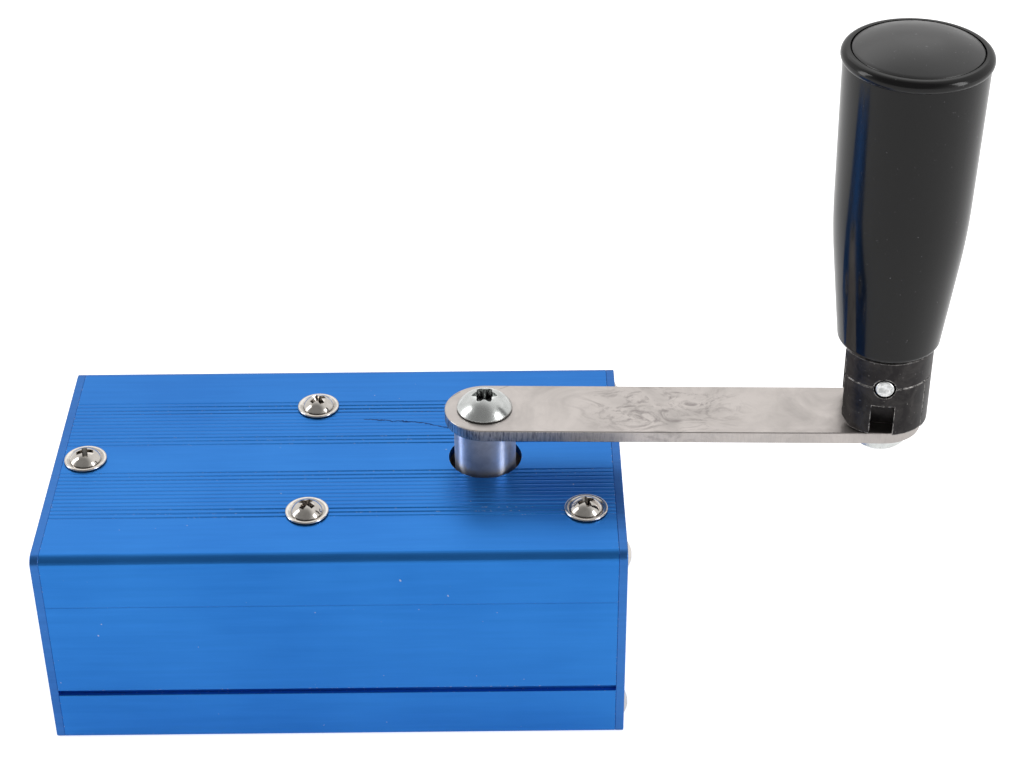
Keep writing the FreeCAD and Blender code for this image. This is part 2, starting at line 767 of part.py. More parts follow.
# Output sockets and rectifier board
def make_sockets():
    socket_end = -case_end - socket_flange_height
    contacts = []
    nuts = []
    for side, colour in ((-1.0, "red"), (1.0, "black")):
        y = side * socket_spacing / 2.0
        flange = rod_x(socket_flange_radius, socket_end, -case_end, y, socket_height)
        body = rod_x(socket_body_radius, -case_end, -case_end + socket_body_length, y,
                     socket_height)
        bore = rod_x(contact_radius, socket_end - cut_over, 0.0, y, socket_height)
        save("socket_bush_" + colour, flange.fuse(body).removeSplitter().cut(bore))
        contact = rod_x(contact_radius, socket_end, socket_end + contact_length, y, socket_height)
        tail = rod_x(contact_tail_radius, socket_end + contact_length,
                     socket_end + contact_length + contact_tail_length, y, socket_height)
        hole = rod_x(socket_bore_radius, socket_end - cut_over, socket_end + socket_bore_depth, y,
                     socket_height)
        contacts.append(contact.fuse(tail).cut(hole))
        nut = hexagon(socket_nut_width, 0.0, socket_nut_height)
        nut.rotate(Vector(0, 0, 0), Vector(0, 1, 0), 90)
        nut = moved(nut, -shell_end, y, socket_height)
        nuts.append(nut.cut(rod_x(socket_body_radius, -case_end, 0.0, y, socket_height)))
    save("socket_contacts", contacts)
    save("socket_nuts", nuts)


def make_board():
    board_top = bottom_plate_top + board_height
    board = block(board_face, board_back, -board_side, board_side, bottom_plate_top, board_top)
    tails = [rod_x(contact_tail_radius, -case_end, 0.0, side * socket_spacing / 2.0, socket_height)
             for side in (-1.0, 1.0)]
    lead_sides = (-lead_spacing, 0.0, lead_spacing)
    lead_end = rotor_x - housing_radius + housing_wall
    leads = [rod_x(lead_radius, board_face, lead_end, y, lead_height) for y in lead_sides]
    save("rectifier_board", board.cut(tails + leads))
    save("generator_leads", leads)

    half_side = rectifier_side / 2.0
    rectifier = block(board_face - rectifier_thickness, board_face, -half_side, half_side,
                      rectifier_height - half_side, rectifier_height + half_side)
    save("bridge_rectifier", rectifier)
    capacitor = rod_x(capacitor_radius, board_face - capacitor_length, board_face, 0.0,
                      bottom_plate_top + capacitor_height)
    save("smoothing_capacitor", capacitor)

    brackets = []
    for side in (-1.0, 1.0):
        y_middle = side * (board_side - bracket_width / 2.0)
        y_from = y_middle - bracket_width / 2.0
        y_to = y_middle + bracket_width / 2.0
        upright = block(board_face - bracket_thickness, board_face, y_from, y_to,
                        bottom_plate_top, bottom_plate_top + bracket_height)
        foot = block(board_face - bracket_foot, board_face, y_from, y_to,
                     bottom_plate_top, bottom_plate_top + bracket_thickness)
        brackets.append(upright.fuse(foot).removeSplitter())
    save("board_brackets", brackets)


# Crank arm, drawn along X from the crank's axis and then turned to where it stopped
def placed_on_crank(shape):
    placed = moved(shape, crank_x)
    placed.rotate(Vector(crank_x, 0, 0), Vector(0, 0, 1), arm_turn)
    return placed


def make_arm():
    half = arm_width / 2.0
    bar = block(0.0, crank_throw, -half, half, arm_under, arm_top)
    ends = [disc(half, arm_under, arm_top), disc(half, arm_under, arm_top, crank_throw)]
    bar = bar.fuse(ends).removeSplitter()
    rims = [edge for edge in bar.Edges if edge.BoundBox.ZLength < 0.01]
    bar = bar.makeFillet(arm_edge, rims)
    spigot_hole = spigot(arm_under - cut_over, arm_top + cut_over, lap_clearance)
    screw_hole = disc(knuckle_screw_radius, arm_under - cut_over, arm_top + cut_over, crank_throw)
    save("crank_arm", placed_on_crank(bar.cut([spigot_hole, screw_hole])))

    screw = domed_head(arm_screw_head_radius, arm_screw_head_height)
    screw = screw.fuse(disc(arm_screw_radius, -arm_screw_reach, 0.0)).removeSplitter()
    socket = disc(arm_screw_socket_radius * 0.8, arm_screw_head_height - arm_screw_socket_depth,
                  arm_screw_head_height + cut_over)
    lobe = disc(arm_screw_socket_radius * 0.3, arm_screw_head_height - arm_screw_socket_depth,
                arm_screw_head_height + cut_over, arm_screw_socket_radius * 0.75)
    lobes = []
    for number in range(6):
        turned_lobe = lobe.copy()
        turned_lobe.rotate(Vector(0, 0, 0), Vector(0, 0, 1), 60.0 * number)
        lobes.append(turned_lobe)
    save("arm_screw", placed_on_crank(moved(screw.cut([socket] + lobes), z=arm_top)))


# Knuckle hinge
def placed_at_grip(shape):
    placed = moved(shape, grip_axis_x, grip_axis_y)
    placed.rotate(Vector(grip_axis_x, grip_axis_y, 0), Vector(0, 0, 1), arm_turn + knuckle_turn)
    return placed


def rod_y(radius, half_length, x, z):
    return Part.makeCylinder(radius, 2.0 * half_length, Vector(x, -half_length, z),
                             Vector(0, 1, 0))


def make_tongue():
    foot_top = pin_level - tongue_clearance
    foot = block(-tongue_back_flat, knuckle_radius, -tongue_half_width, tongue_half_width,
                 arm_top, foot_top)
    foot = foot.common(disc(knuckle_radius, arm_top, foot_top))
    lug = block(-lug_radius, lug_radius, -lug_half_width, lug_half_width, arm_top, lug_top_centre)
    crown = rod_y(lug_radius, lug_half_width, 0.0, lug_top_centre)
    slot_radius = hinge_pin_radius + running_clearance
    slot = block(-slot_radius, slot_radius, -knuckle_radius, knuckle_radius, pin_level,
                 pin_level + fold_lift)
    slot_ends = [rod_y(slot_radius, knuckle_radius, 0.0, pin_level),
                 rod_y(slot_radius, knuckle_radius, 0.0, pin_level + fold_lift)]
    thread = disc(knuckle_screw_radius, arm_top - cut_over,
                  arm_top + knuckle_screw_reach + 0.5)
    tongue = foot.fuse([lug, crown]).removeSplitter().cut([slot, thread] + slot_ends)
    save("knuckle_tongue", placed_at_grip(tongue))

    skirt = disc(knuckle_screw_head_radius, 0.0, knuckle_screw_skirt)
    dome_height = knuckle_screw_head_height - knuckle_screw_skirt
    dome = moved(domed_head(knuckle_screw_head_radius, dome_height), z=knuckle_screw_skirt)
    shank = disc(knuckle_screw_radius, -knuckle_screw_reach - arm_thickness, 0.0)
    screw = skirt.fuse([dome, shank]).removeSplitter()
    screw.rotate(Vector(0, 0, 0), Vector(1, 0, 0), 180)
    save("knuckle_screw", placed_at_grip(moved(screw, z=arm_under)))


def make_fork():
    reach = knuckle_radius + cut_over
    gap = tongue_half_width + fork_gap
    lug_gap = lug_half_width + tongue_clearance
    body = disc(knuckle_radius, fork_under, fork_top)
    rim = [edge for edge in body.Edges if abs(edge.CenterOfMass.z - fork_top) < 0.01
           and edge.BoundBox.ZLength < 0.01]
    body = body.makeChamfer(scribe_width, rim)
    neck = disc(neck_radius, fork_top, neck_top)
    fork = body.fuse(neck).removeSplitter()
    pocket_top = lug_top + 0.4
    cutters = [
        block(-reach, reach, -gap, gap, fork_under - cut_over, pin_level),
        block(-reach, 0.0, -gap, gap, pin_level - cut_over, fork_top),
        block(-lug_radius, fork_pocket_reach, -lug_gap, lug_gap, pin_level - cut_over, fork_top),
        block(-lug_radius - tongue_clearance, neck_pocket_reach, -lug_gap, lug_gap,
              fork_top - cut_over, pocket_top),
        block(-notch_width / 2.0, notch_width / 2.0, -reach, reach, fork_under - cut_over,
              arm_top + notch_height),
        rod_y(hinge_pin_radius + running_clearance, reach, 0.0, pin_level),
        disc(spindle_stub_radius, neck_top - spindle_stub_length - cut_over, neck_top + cut_over),
    ]
    edge_x = -math.sqrt(knuckle_radius ** 2 - gap ** 2)
    corner_foot = fork_under - cut_over
    corner_reach = fork_corner + cut_over
    corner = [(-reach, -reach, corner_foot), (edge_x + corner_reach, -reach, corner_foot),
              (-reach, -reach, fork_under + corner_reach + reach + edge_x)]
    cutters.append(prism(corner, Vector(0, 2.0 * reach, 0)))
    groove = disc(knuckle_radius + cut_over, pin_level - scribe_width / 2.0,
                  pin_level + scribe_width / 2.0)
    groove = groove.cut(disc(knuckle_radius - scribe_depth, fork_under, fork_top))
    fork = fork.cut(cutters + [groove])
    save("hinge_fork", placed_at_grip(fork))

    pin = rod_y(hinge_pin_radius, hinge_pin_reach, 0.0, pin_level)
    pin = pin.makeChamfer(0.3, [edge for edge in pin.Edges if edge.BoundBox.YLength < 0.01])
    save("hinge_pin", placed_at_grip(pin))


# Grip
def make_spindle():
    shoulder_top = web_top + end_play
    tail_top = shoulder_top + spindle_tail_length
    spindle = disc(spindle_stub_radius, neck_top - spindle_stub_length, neck_top)
    spindle = spindle.fuse([disc(spindle_radius, neck_top, shoulder_top),
                            disc(spindle_stub_radius, shoulder_top, tail_top)]).removeSplitter()
    save("grip_spindle", placed_at_grip(spindle))
    bore = disc(spindle_stub_radius, shoulder_top - cut_over, grip_top)
    washer = disc(washer_radius, shoulder_top, shoulder_top + washer_thickness).cut(bore)
    save("grip_washer", placed_at_grip(washer))
    nut_under = shoulder_top + washer_thickness
    nut = hexagon(nut_width, nut_under, nut_under + nut_height).cut(bore)
    save("grip_nut", placed_at_grip(nut))


def make_sleeve():
    bead_middle = grip_top - grip_bead_height / 2.0
    outline = [(0.0, grip_under), (grip_base_radius - grip_base_fillet, grip_under),
               (grip_base_radius, grip_under + grip_base_fillet),
               (grip_waist_radius, grip_under + grip_waist_rise),
               (grip_rim_radius, bead_middle), (0.0, bead_middle)]
    bead = disc(grip_bead_radius, grip_top - grip_bead_height, grip_top)
    rims = [edge for edge in bead.Edges if edge.BoundBox.ZLength < 0.01]
    bead = bead.makeFillet(grip_bead_height * 0.48, rims)
    sleeve = turned(outline).fuse(bead)
    cutters = [
        disc(neck_radius + running_clearance, grip_under - cut_over, neck_top + end_play),
        disc(spindle_radius + running_clearance, grip_under, web_top),
        disc(grip_counterbore_radius, web_top, cap_seat),
        disc(cap_radius + cap_gap, cap_seat, grip_top + cut_over),
    ]
    save("grip_sleeve", placed_at_grip(sleeve.cut(cutters)))

    edge = disc(cap_radius, cap_seat, cap_seat + cap_edge_height)
    dome = moved(domed_head(cap_radius, cap_dome), z=cap_seat + cap_edge_height)
    save("grip_cap", placed_at_grip(edge.fuse(dome).removeSplitter()))


make_upper_shell()
make_lower_shell()
make_end_plates()
make_case_screws()
make_frame()
make_crank_train()
make_layshaft()
make_generator_housing()
make_stator()
make_rotor()
make_sockets()
make_board()
make_arm()
make_tongue()
make_fork()
make_spindle()
make_sleeve()
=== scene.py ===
# %% [markdown]
# # A hand crank generator in Blender
# The object is a small blue anodised aluminium case on a table. A polished shaft stands up
# out of its lid and carries a flat steel bar, the crank arm, with a black handle at its end.
# The engineering model is loaded first as a fixed frame: it says where every piece is, in
# metres, with +X to the right, +Y to the back and +Z up. This file dresses that frame.

# %% Load the frame
import json
import math
import bmesh
import bpy
from mathutils import Matrix, Vector


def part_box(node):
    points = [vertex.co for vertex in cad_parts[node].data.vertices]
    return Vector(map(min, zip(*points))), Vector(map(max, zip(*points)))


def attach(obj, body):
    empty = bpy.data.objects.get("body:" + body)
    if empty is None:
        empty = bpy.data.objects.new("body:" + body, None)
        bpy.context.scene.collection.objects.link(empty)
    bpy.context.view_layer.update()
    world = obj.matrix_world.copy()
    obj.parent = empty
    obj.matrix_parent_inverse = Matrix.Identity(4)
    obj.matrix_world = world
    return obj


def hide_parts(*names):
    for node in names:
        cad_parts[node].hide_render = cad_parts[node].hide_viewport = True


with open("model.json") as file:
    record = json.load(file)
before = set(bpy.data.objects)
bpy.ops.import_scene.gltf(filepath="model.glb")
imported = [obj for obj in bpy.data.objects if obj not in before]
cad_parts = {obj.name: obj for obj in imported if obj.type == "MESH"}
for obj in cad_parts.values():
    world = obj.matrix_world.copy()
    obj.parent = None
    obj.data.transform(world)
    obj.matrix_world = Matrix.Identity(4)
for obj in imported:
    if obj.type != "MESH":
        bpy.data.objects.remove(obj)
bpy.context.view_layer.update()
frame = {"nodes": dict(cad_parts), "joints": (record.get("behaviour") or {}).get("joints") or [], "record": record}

MM = 0.001
scene = bpy.context.scene
print("nodes in the frame:", len(frame["nodes"]))

# %% [markdown]
# ## The camera
# The photograph looks down on the object at about 35 degrees from in front, with the case to
# the left and the handle to the right. A long lens keeps the upright handle nearly straight.
# The place and the three angles below were found by matching corners of the case, so the
# camera is turned by a matrix built from them and needs no shift.

# %% Make the camera
CAMERA_PLACE = Vector((37.383, -399.661, 344.348)) * MM
CAMERA_LENS = 78.87
CAMERA_DOWN = math.radians(34.4057)
CAMERA_RIGHT = math.radians(0.1788)
CAMERA_ROLL = math.radians(-0.4631)


def camera_matrix():
    look = Vector((math.sin(CAMERA_RIGHT) * math.cos(CAMERA_DOWN),
                   math.cos(CAMERA_RIGHT) * math.cos(CAMERA_DOWN), -math.sin(CAMERA_DOWN)))
    level = Vector((math.cos(CAMERA_RIGHT), -math.sin(CAMERA_RIGHT), 0.0))
    upright = level.cross(look)
    right = math.cos(CAMERA_ROLL) * level + math.sin(CAMERA_ROLL) * upright
    up = -math.sin(CAMERA_ROLL) * level + math.cos(CAMERA_ROLL) * upright
    turn = Matrix((right, up, -look)).transposed().to_4x4()
    return Matrix.Translation(CAMERA_PLACE) @ turn


camera_data = bpy.data.cameras.new("photo_camera")
camera_data.lens = CAMERA_LENS
camera_data.sensor_width = 36.0
camera_data.clip_start = 0.01
camera_data.clip_end = 20.0
camera = bpy.data.objects.new("photo_camera", camera_data)
camera.matrix_world = camera_matrix()
scene.collection.objects.link(camera)
scene.camera = camera
print("camera looks down by", round(math.degrees(CAMERA_DOWN), 1), "degrees")

# %% [markdown]
# ## Light and floor
# A product on white is lit from all round, so most of the light is a pale world. Metal only
# looks like metal when it has something dark to reflect, so the world is darker above and
# behind the camera and to its left: that is what draws the dark line along the rounded front
# edge of the lid and the dark middle of the polished hub. Long soft lamps at both sides give
# the black handle its two upright highlights.

# %% Build the world and the lamps
WORLD_COLOUR = (1.0, 0.995, 0.985)
WORLD_LEVEL = 0.80
WORLD_DARK = 0.24
DARK_TOWARDS = (-0.30, -0.66, 0.69)
DARK_STARTS = 0.32
DARK_FULL = 0.86
# Each lamp has a place, what it points at, its width and height, all in metres, and its watts
LAMPS = {
    "left_strip": ((-0.80, 0.05, 0.40), (0.05, 0.0, 0.06), 0.22, 0.8, 2.2),
    "right_strip": ((0.90, -0.48, 0.45), (0.08, 0.0, 0.08), 0.26, 0.8, 3.3),
    "back_top": ((0.0, 0.75, 0.85), (0.03, 0.0, 0.05), 1.0, 0.5, 0.8),
}


def link(tree, source, target):
    tree.links.new(source, target)


def make_world():
    world = bpy.data.worlds.new("studio")
    world.use_nodes = True
    tree = world.node_tree
    background = tree.nodes["Background"]
    place = tree.nodes.new("ShaderNodeTexCoord")
    aim = tree.nodes.new("ShaderNodeVectorMath")
    aim.operation = "DOT_PRODUCT"
    aim.inputs[1].default_value = Vector(DARK_TOWARDS).normalized()
    link(tree, place.outputs["Generated"], aim.inputs[0])
    level = tree.nodes.new("ShaderNodeMapRange")
    level.interpolation_type = "SMOOTHSTEP"
    level.inputs["From Min"].default_value = DARK_STARTS
    level.inputs["From Max"].default_value = DARK_FULL
    level.inputs["To Min"].default_value = WORLD_LEVEL
    level.inputs["To Max"].default_value = WORLD_DARK
    link(tree, aim.outputs["Value"], level.inputs["Value"])
    link(tree, level.outputs["Result"], background.inputs["Strength"])
    background.inputs["Color"].default_value = (*WORLD_COLOUR, 1.0)
    scene.world = world


def add_lamp(name, place, target, width, height, power):
    data = bpy.data.lights.new(name, "AREA")
    data.shape = "RECTANGLE"
    data.size = width
    data.size_y = height
    data.energy = power
    lamp = bpy.data.objects.new(name, data)
    place = Vector(place)
    aim = (Vector(target) - place).to_track_quat("-Z", "Y")
    lamp.matrix_world = Matrix.Translation(place) @ aim.to_matrix().to_4x4()
    scene.collection.objects.link(lamp)


make_world()
for lamp_name, lamp_facts in LAMPS.items():
    add_lamp(lamp_name, *lamp_facts)
print("lamps:", len(LAMPS))

# %% [markdown]
# The floor is one sheet, far larger than the view. Its matte paint takes the object's shadow,
# and a glow that only the camera sees in full makes the background white without putting more
# light on the object. Reflections see part of that glow, as polished metal shows a white table.

# %% Lay the floor
FLOOR_SIZE = 6.0
FLOOR_PAINT = (0.9, 0.9, 0.9)
FLOOR_GLOW = 0.74
FLOOR_MIRRORED = 0.44


def make_floor():
    bm = bmesh.new()
    bmesh.ops.create_grid(bm, x_segments=1, y_segments=1, size=FLOOR_SIZE / 2.0)
    mesh = bpy.data.meshes.new("floor")
    bm.to_mesh(mesh)
    bm.free()
    floor = bpy.data.objects.new("floor", mesh)
    scene.collection.objects.link(floor)
    paint = bpy.data.materials.new("white_floor")
    paint.use_nodes = True
    tree = paint.node_tree
    matte = tree.nodes["Principled BSDF"]
    matte.inputs["Base Color"].default_value = (*FLOOR_PAINT, 1.0)
    matte.inputs["Roughness"].default_value = 1.0
    matte.inputs["Specular IOR Level"].default_value = 0.0
    glow = tree.nodes.new("ShaderNodeEmission")
    glow.inputs["Strength"].default_value = FLOOR_GLOW
    seen = tree.nodes.new("ShaderNodeLightPath")
    share = tree.nodes.new("ShaderNodeMath")
    share.operation = "MULTIPLY_ADD"
    share.inputs[1].default_value = FLOOR_MIRRORED
    link(tree, seen.outputs["Is Glossy Ray"], share.inputs[0])
    link(tree, seen.outputs["Is Camera Ray"], share.inputs[2])
    both = tree.nodes.new("ShaderNodeAddShader")
    link(tree, matte.outputs[0], both.inputs[0])
    link(tree, glow.outputs[0], both.inputs[1])
    choose = tree.nodes.new("ShaderNodeMixShader")
    link(tree, share.outputs[0], choose.inputs["Fac"])
    link(tree, matte.outputs[0], choose.inputs[1])
    link(tree, both.outputs[0], choose.inputs[2])
    link(tree, choose.outputs[0], tree.nodes["Material Output"].inputs["Surface"])
    mesh.materials.append(paint)


make_floor()
scene.view_settings.view_transform = "Standard"
print("floor:", FLOOR_SIZE, "m square")

# %% [markdown]
# ## Small tools for materials
# Every finish below starts from the Principled shader and reads Object coordinates, which are
# metres in the frame. Because all pieces share that frame, a noise scale of 1000 means
# features about a millimetre across on every piece. Each helper adds one node and returns the
# socket that the next helper reads, so a finish reads like a short recipe.

# %% Material helpers
def start_material(name, colour, metallic, roughness):
    material = bpy.data.materials.new(name)
    material.use_nodes = True
    tree = material.node_tree
    shader = tree.nodes["Principled BSDF"]
    shader.inputs["Base Color"].default_value = (*colour, 1.0)
    shader.inputs["Metallic"].default_value = metallic
    shader.inputs["Roughness"].default_value = roughness
    return material, tree, shader


def coordinates(tree, stretch=(1.0, 1.0, 1.0), turn=(0.0, 0.0, 0.0), shift=(0.0, 0.0, 0.0)):
    place = tree.nodes.new("ShaderNodeTexCoord")
    mapping = tree.nodes.new("ShaderNodeMapping")
    mapping.inputs["Location"].default_value = shift
    mapping.inputs["Rotation"].default_value = turn
    mapping.inputs["Scale"].default_value = stretch
    link(tree, place.outputs["Object"], mapping.inputs["Vector"])
    return mapping.outputs["Vector"]


def noise(tree, where, scale, detail=3.0, rough=0.5, warp=0.0):
    node = tree.nodes.new("ShaderNodeTexNoise")
    node.inputs["Scale"].default_value = scale
    node.inputs["Detail"].default_value = detail
    node.inputs["Roughness"].default_value = rough
    node.inputs["Distortion"].default_value = warp
    link(tree, where, node.inputs["Vector"])
    return node.outputs["Fac"]


def remap(tree, value, low, high, new_low=0.0, new_high=1.0):
    node = tree.nodes.new("ShaderNodeMapRange")
    node.inputs["From Min"].default_value = low
    node.inputs["From Max"].default_value = high
    node.inputs["To Min"].default_value = new_low
    node.inputs["To Max"].default_value = new_high
    link(tree, value, node.inputs["Value"])
    return node.outputs["Result"]


def combine(tree, operation, first, second):
    node = tree.nodes.new("ShaderNodeMath")
    node.operation = operation
    for socket, value in zip(node.inputs, (first, second)):
        if isinstance(value, (int, float)):
            socket.default_value = value
        else:
            link(tree, value, socket)
    return node.outputs[0]


def blend_colour(tree, factor, first, second):
    node = tree.nodes.new("ShaderNodeMix")
    node.data_type = "RGBA"
    link(tree, factor, node.inputs["Factor"])
    for socket, value in ((node.inputs["A"], first), (node.inputs["B"], second)):
        if isinstance(value, tuple):
            socket.default_value = (*value, 1.0)
        else:
            link(tree, value, socket)
    return node.outputs["Result"]


# %% [markdown]
# Relief comes from bump nodes, which tilt the shading without moving the mesh. Wear follows
# the shape: a bevel node finds the sharp edges that hands rub bare. Ambient occlusion finds the
# recesses and contact lines, and painted shade goes there. A scratch is a line between two
# measured places, made jagged by noise.

# %% Relief, wear and scratches
def bump(tree, shader, height, depth, strength=1.0):
    node = tree.nodes.new("ShaderNodeBump")
    node.inputs["Strength"].default_value = strength
    node.inputs["Distance"].default_value = depth
    link(tree, height, node.inputs["Height"])
    earlier = shader.inputs["Normal"].links
    if earlier:
        link(tree, earlier[0].from_socket, node.inputs["Normal"])
    link(tree, node.outputs["Normal"], shader.inputs["Normal"])


def edge_wear(tree, radius, low, high):
    """Near 1 on sharp outer edges, from how far a small bevel would turn the normal."""
    soft = tree.nodes.new("ShaderNodeBevel")
    soft.inputs["Radius"].default_value = radius
    soft.samples = 4
    geometry = tree.nodes.new("ShaderNodeNewGeometry")
    compare = tree.nodes.new("ShaderNodeVectorMath")
    compare.operation = "DOT_PRODUCT"
    link(tree, soft.outputs["Normal"], compare.inputs[0])
    link(tree, geometry.outputs["Normal"], compare.inputs[1])
    return remap(tree, compare.outputs["Value"], high, low)


def recess_shade(tree, reach, open_level, dark_level):
    """Painted shade: near 1 down in recesses and along contact lines, 0 on open faces."""
    shade = tree.nodes.new("ShaderNodeAmbientOcclusion")
    shade.samples = 6
    shade.inputs["Distance"].default_value = reach
    return remap(tree, shade.outputs["AO"], open_level, dark_level)


def scratch(tree, start, end, width, wobble):
    """1 along a jagged line between two places in millimetres, seen from above, 0 elsewhere."""
    run = Vector(end) - Vector(start)
    turn = -math.atan2(run.y, run.x)
    begin = Matrix.Rotation(turn, 2) @ Vector(start) * MM
    place = tree.nodes.new("ShaderNodeSeparateXYZ")
    link(tree, coordinates(tree, (1.0, 1.0, 0.0), (0.0, 0.0, turn), (-begin.x, -begin.y, 0.0)),
         place.inputs["Vector"])
    jag = combine(tree, "SUBTRACT", noise(tree, coordinates(tree), 420.0, 5.0, 0.7), 0.5)
    across = combine(tree, "ADD", place.outputs["Y"],
                     combine(tree, "MULTIPLY", jag, wobble * MM))
    line = remap(tree, combine(tree, "ABSOLUTE", across, 0.0), 0.4 * width * MM, width * MM,
                 1.0, 0.0)
    fade_in = remap(tree, place.outputs["X"], 0.0, 0.5 * MM)
    fade_out = remap(tree, place.outputs["X"], (run.length - 0.5) * MM, run.length * MM, 1.0, 0.0)
    return combine(tree, "MULTIPLY", line, combine(tree, "MULTIPLY", fade_in, fade_out))


# %% [markdown]
# ## Blue anodised aluminium
# The shells and end plates are extruded aluminium, blasted and dyed blue. The dye lets the
# metal shine through, so the shader is metallic with a deep blue. Long faint streaks run along
# the extrusion, a very fine grain breaks up the reflections, tiny pale specks are dust and
# pinholes, and sharp edges show bare metal where the dye has been knocked off in nicks.

# %% Blue anodised finish
ANODISED_DEEP = (0.024, 0.192, 0.620)
ANODISED_LIGHT = (0.036, 0.246, 0.730)
BARE_METAL = (0.62, 0.64, 0.68)
SCRATCHED = (0.006, 0.030, 0.130)
PLATE_DEEP = (0.036, 0.158, 0.490)
PLATE_LIGHT = (0.052, 0.215, 0.620)


def blue_anodised(name, deep, light, worn):
    material, tree, shader = start_material(name, light, 0.92, 0.36)
    clouds = noise(tree, coordinates(tree), 22.0, 3.0)
    streaks = noise(tree, coordinates(tree, (0.06, 1.0, 1.0)), 900.0, 2.0)
    mottle = combine(tree, "ADD", combine(tree, "MULTIPLY", clouds, 0.7),
                     combine(tree, "MULTIPLY", streaks, 0.3))
    colour = blend_colour(tree, remap(tree, mottle, 0.35, 0.65), deep, light)
    dust = noise(tree, coordinates(tree), 900.0, 1.0)
    specks = remap(tree, dust, 0.81, 0.84)
    colour = blend_colour(tree, combine(tree, "MULTIPLY", specks, 0.65), colour, BARE_METAL)
    chips = noise(tree, coordinates(tree), 1400.0, 4.0, 0.65)
    nicks = combine(tree, "MULTIPLY", edge_wear(tree, 0.35 * MM, 0.80, 0.94),
                    remap(tree, chips, 0.66 - worn, 0.72 - worn))
    colour = blend_colour(tree, nicks, colour, BARE_METAL)
    mark = combine(tree, "MAXIMUM", scratch(tree, (4.9, 14.7), (19.0, 12.9), 0.24, 2.2),
                   scratch(tree, (18.6, 12.8), (24.6, 10.8), 0.24, 1.8))
    colour = blend_colour(tree, combine(tree, "MULTIPLY", mark, 0.95), colour, SCRATCHED)
    link(tree, colour, shader.inputs["Base Color"])
    grain = noise(tree, coordinates(tree), 5200.0, 2.0)
    rough = combine(tree, "ADD", remap(tree, clouds, 0.3, 0.7, 0.30, 0.37),
                    combine(tree, "MULTIPLY", streaks, 0.06))
    link(tree, rough, shader.inputs["Roughness"])
    bump(tree, shader, grain, 0.012 * MM, 0.5)
    bump(tree, shader, streaks, 0.010 * MM, 0.35)
    return material


# %% [markdown]
# ## Bright metals
# Five metals are on show: the nickel of the lid screws, the zinc of the larger arm screw, the
# brushed bar of the crank arm with its smudges, the ground shaft and the dull cross pin. They
# share ideas and differ in colour, in how rough they are and in which way their fine scratches
# run. The recesses of the screws and the lines where they meet other parts get painted shade.

# %% Bright metal finishes
# Colour of the painted shade in the screws' recesses and along their contact lines
RECESS_SHADE = (0.035, 0.032, 0.032)


def bright_metal(name, colour, shade, roughness, scratch_stretch, scratch_depth, smudge=0.10,
                 patch_scale=160.0, recess=0.0):
    material, tree, shader = start_material(name, colour, 1.0, roughness)
    patches = noise(tree, coordinates(tree), patch_scale, 4.0, 0.6, 0.6)
    scratches = noise(tree, coordinates(tree, scratch_stretch), 2600.0, 2.0)
    tint = blend_colour(tree, remap(tree, patches, 0.35, 0.7), colour, shade)
    # Painted shade: ambient occlusion darkens the recesses and contact lines
    if recess:
        tint = blend_colour(tree, recess_shade(tree, recess * MM, 0.80, 0.45), tint, RECESS_SHADE)
    link(tree, tint, shader.inputs["Base Color"])
    rough = combine(tree, "ADD", remap(tree, patches, 0.3, 0.7, roughness, roughness + smudge),
                    combine(tree, "MULTIPLY", scratches, 0.06))
    link(tree, rough, shader.inputs["Roughness"])
    bump(tree, shader, scratches, scratch_depth, 0.5)
    return material


# %% [markdown]
# The hub was turned and polished, which left rings too fine to see. They smear a reflection up
# and down, so that a lamp shows as an upright streak. The shader's anisotropy does the same
# once its tangent points along the shaft.

# %% Turned steel of the hub
HUB_BRIGHT = (0.66, 0.66, 0.70)
HUB_DULL = (0.54, 0.54, 0.58)


def turned_steel():
    """Steel with rings left by the lathe, which spread reflections up and down the shaft."""
    material, tree, shader = start_material("polished_steel", HUB_BRIGHT, 1.0, 0.33)
    upright = tree.nodes.new("ShaderNodeCombineXYZ")
    upright.inputs["Z"].default_value = 1.0
    link(tree, upright.outputs["Vector"], shader.inputs["Tangent"])
    shader.inputs["Anisotropic"].default_value = 1.0
    rings = noise(tree, coordinates(tree, (0.04, 0.04, 1.0)), 5200.0, 2.0)
    marks = noise(tree, coordinates(tree), 500.0, 4.0, 0.6)
    link(tree, blend_colour(tree, remap(tree, marks, 0.4, 0.7), HUB_BRIGHT, HUB_DULL),
         shader.inputs["Base Color"])
    bump(tree, shader, rings, 0.006 * MM, 0.5)
    return material


# %% [markdown]
# The arm is a flat bar, brushed along its length and then handled. Broad noise makes the dull
# patches, and a warped finer noise makes the smudges round the middle. The upright sides carry
# bristly relief, and painted shade in the same pattern darkens them most near the hub and
# fades out towards the handle.

# %% Crank arm finish
ARM_PALE = (0.60, 0.555, 0.53)
ARM_DULL = (0.50, 0.465, 0.445)
ARM_SMUDGE = (0.33, 0.30, 0.29)
# Colour of the painted shade on the arm's upright sides
ARM_SIDE_SHADE = (0.13, 0.125, 0.14)
SMUDGE_SHIFT = (-71.0 * MM, 1.0 * MM, 0.0)


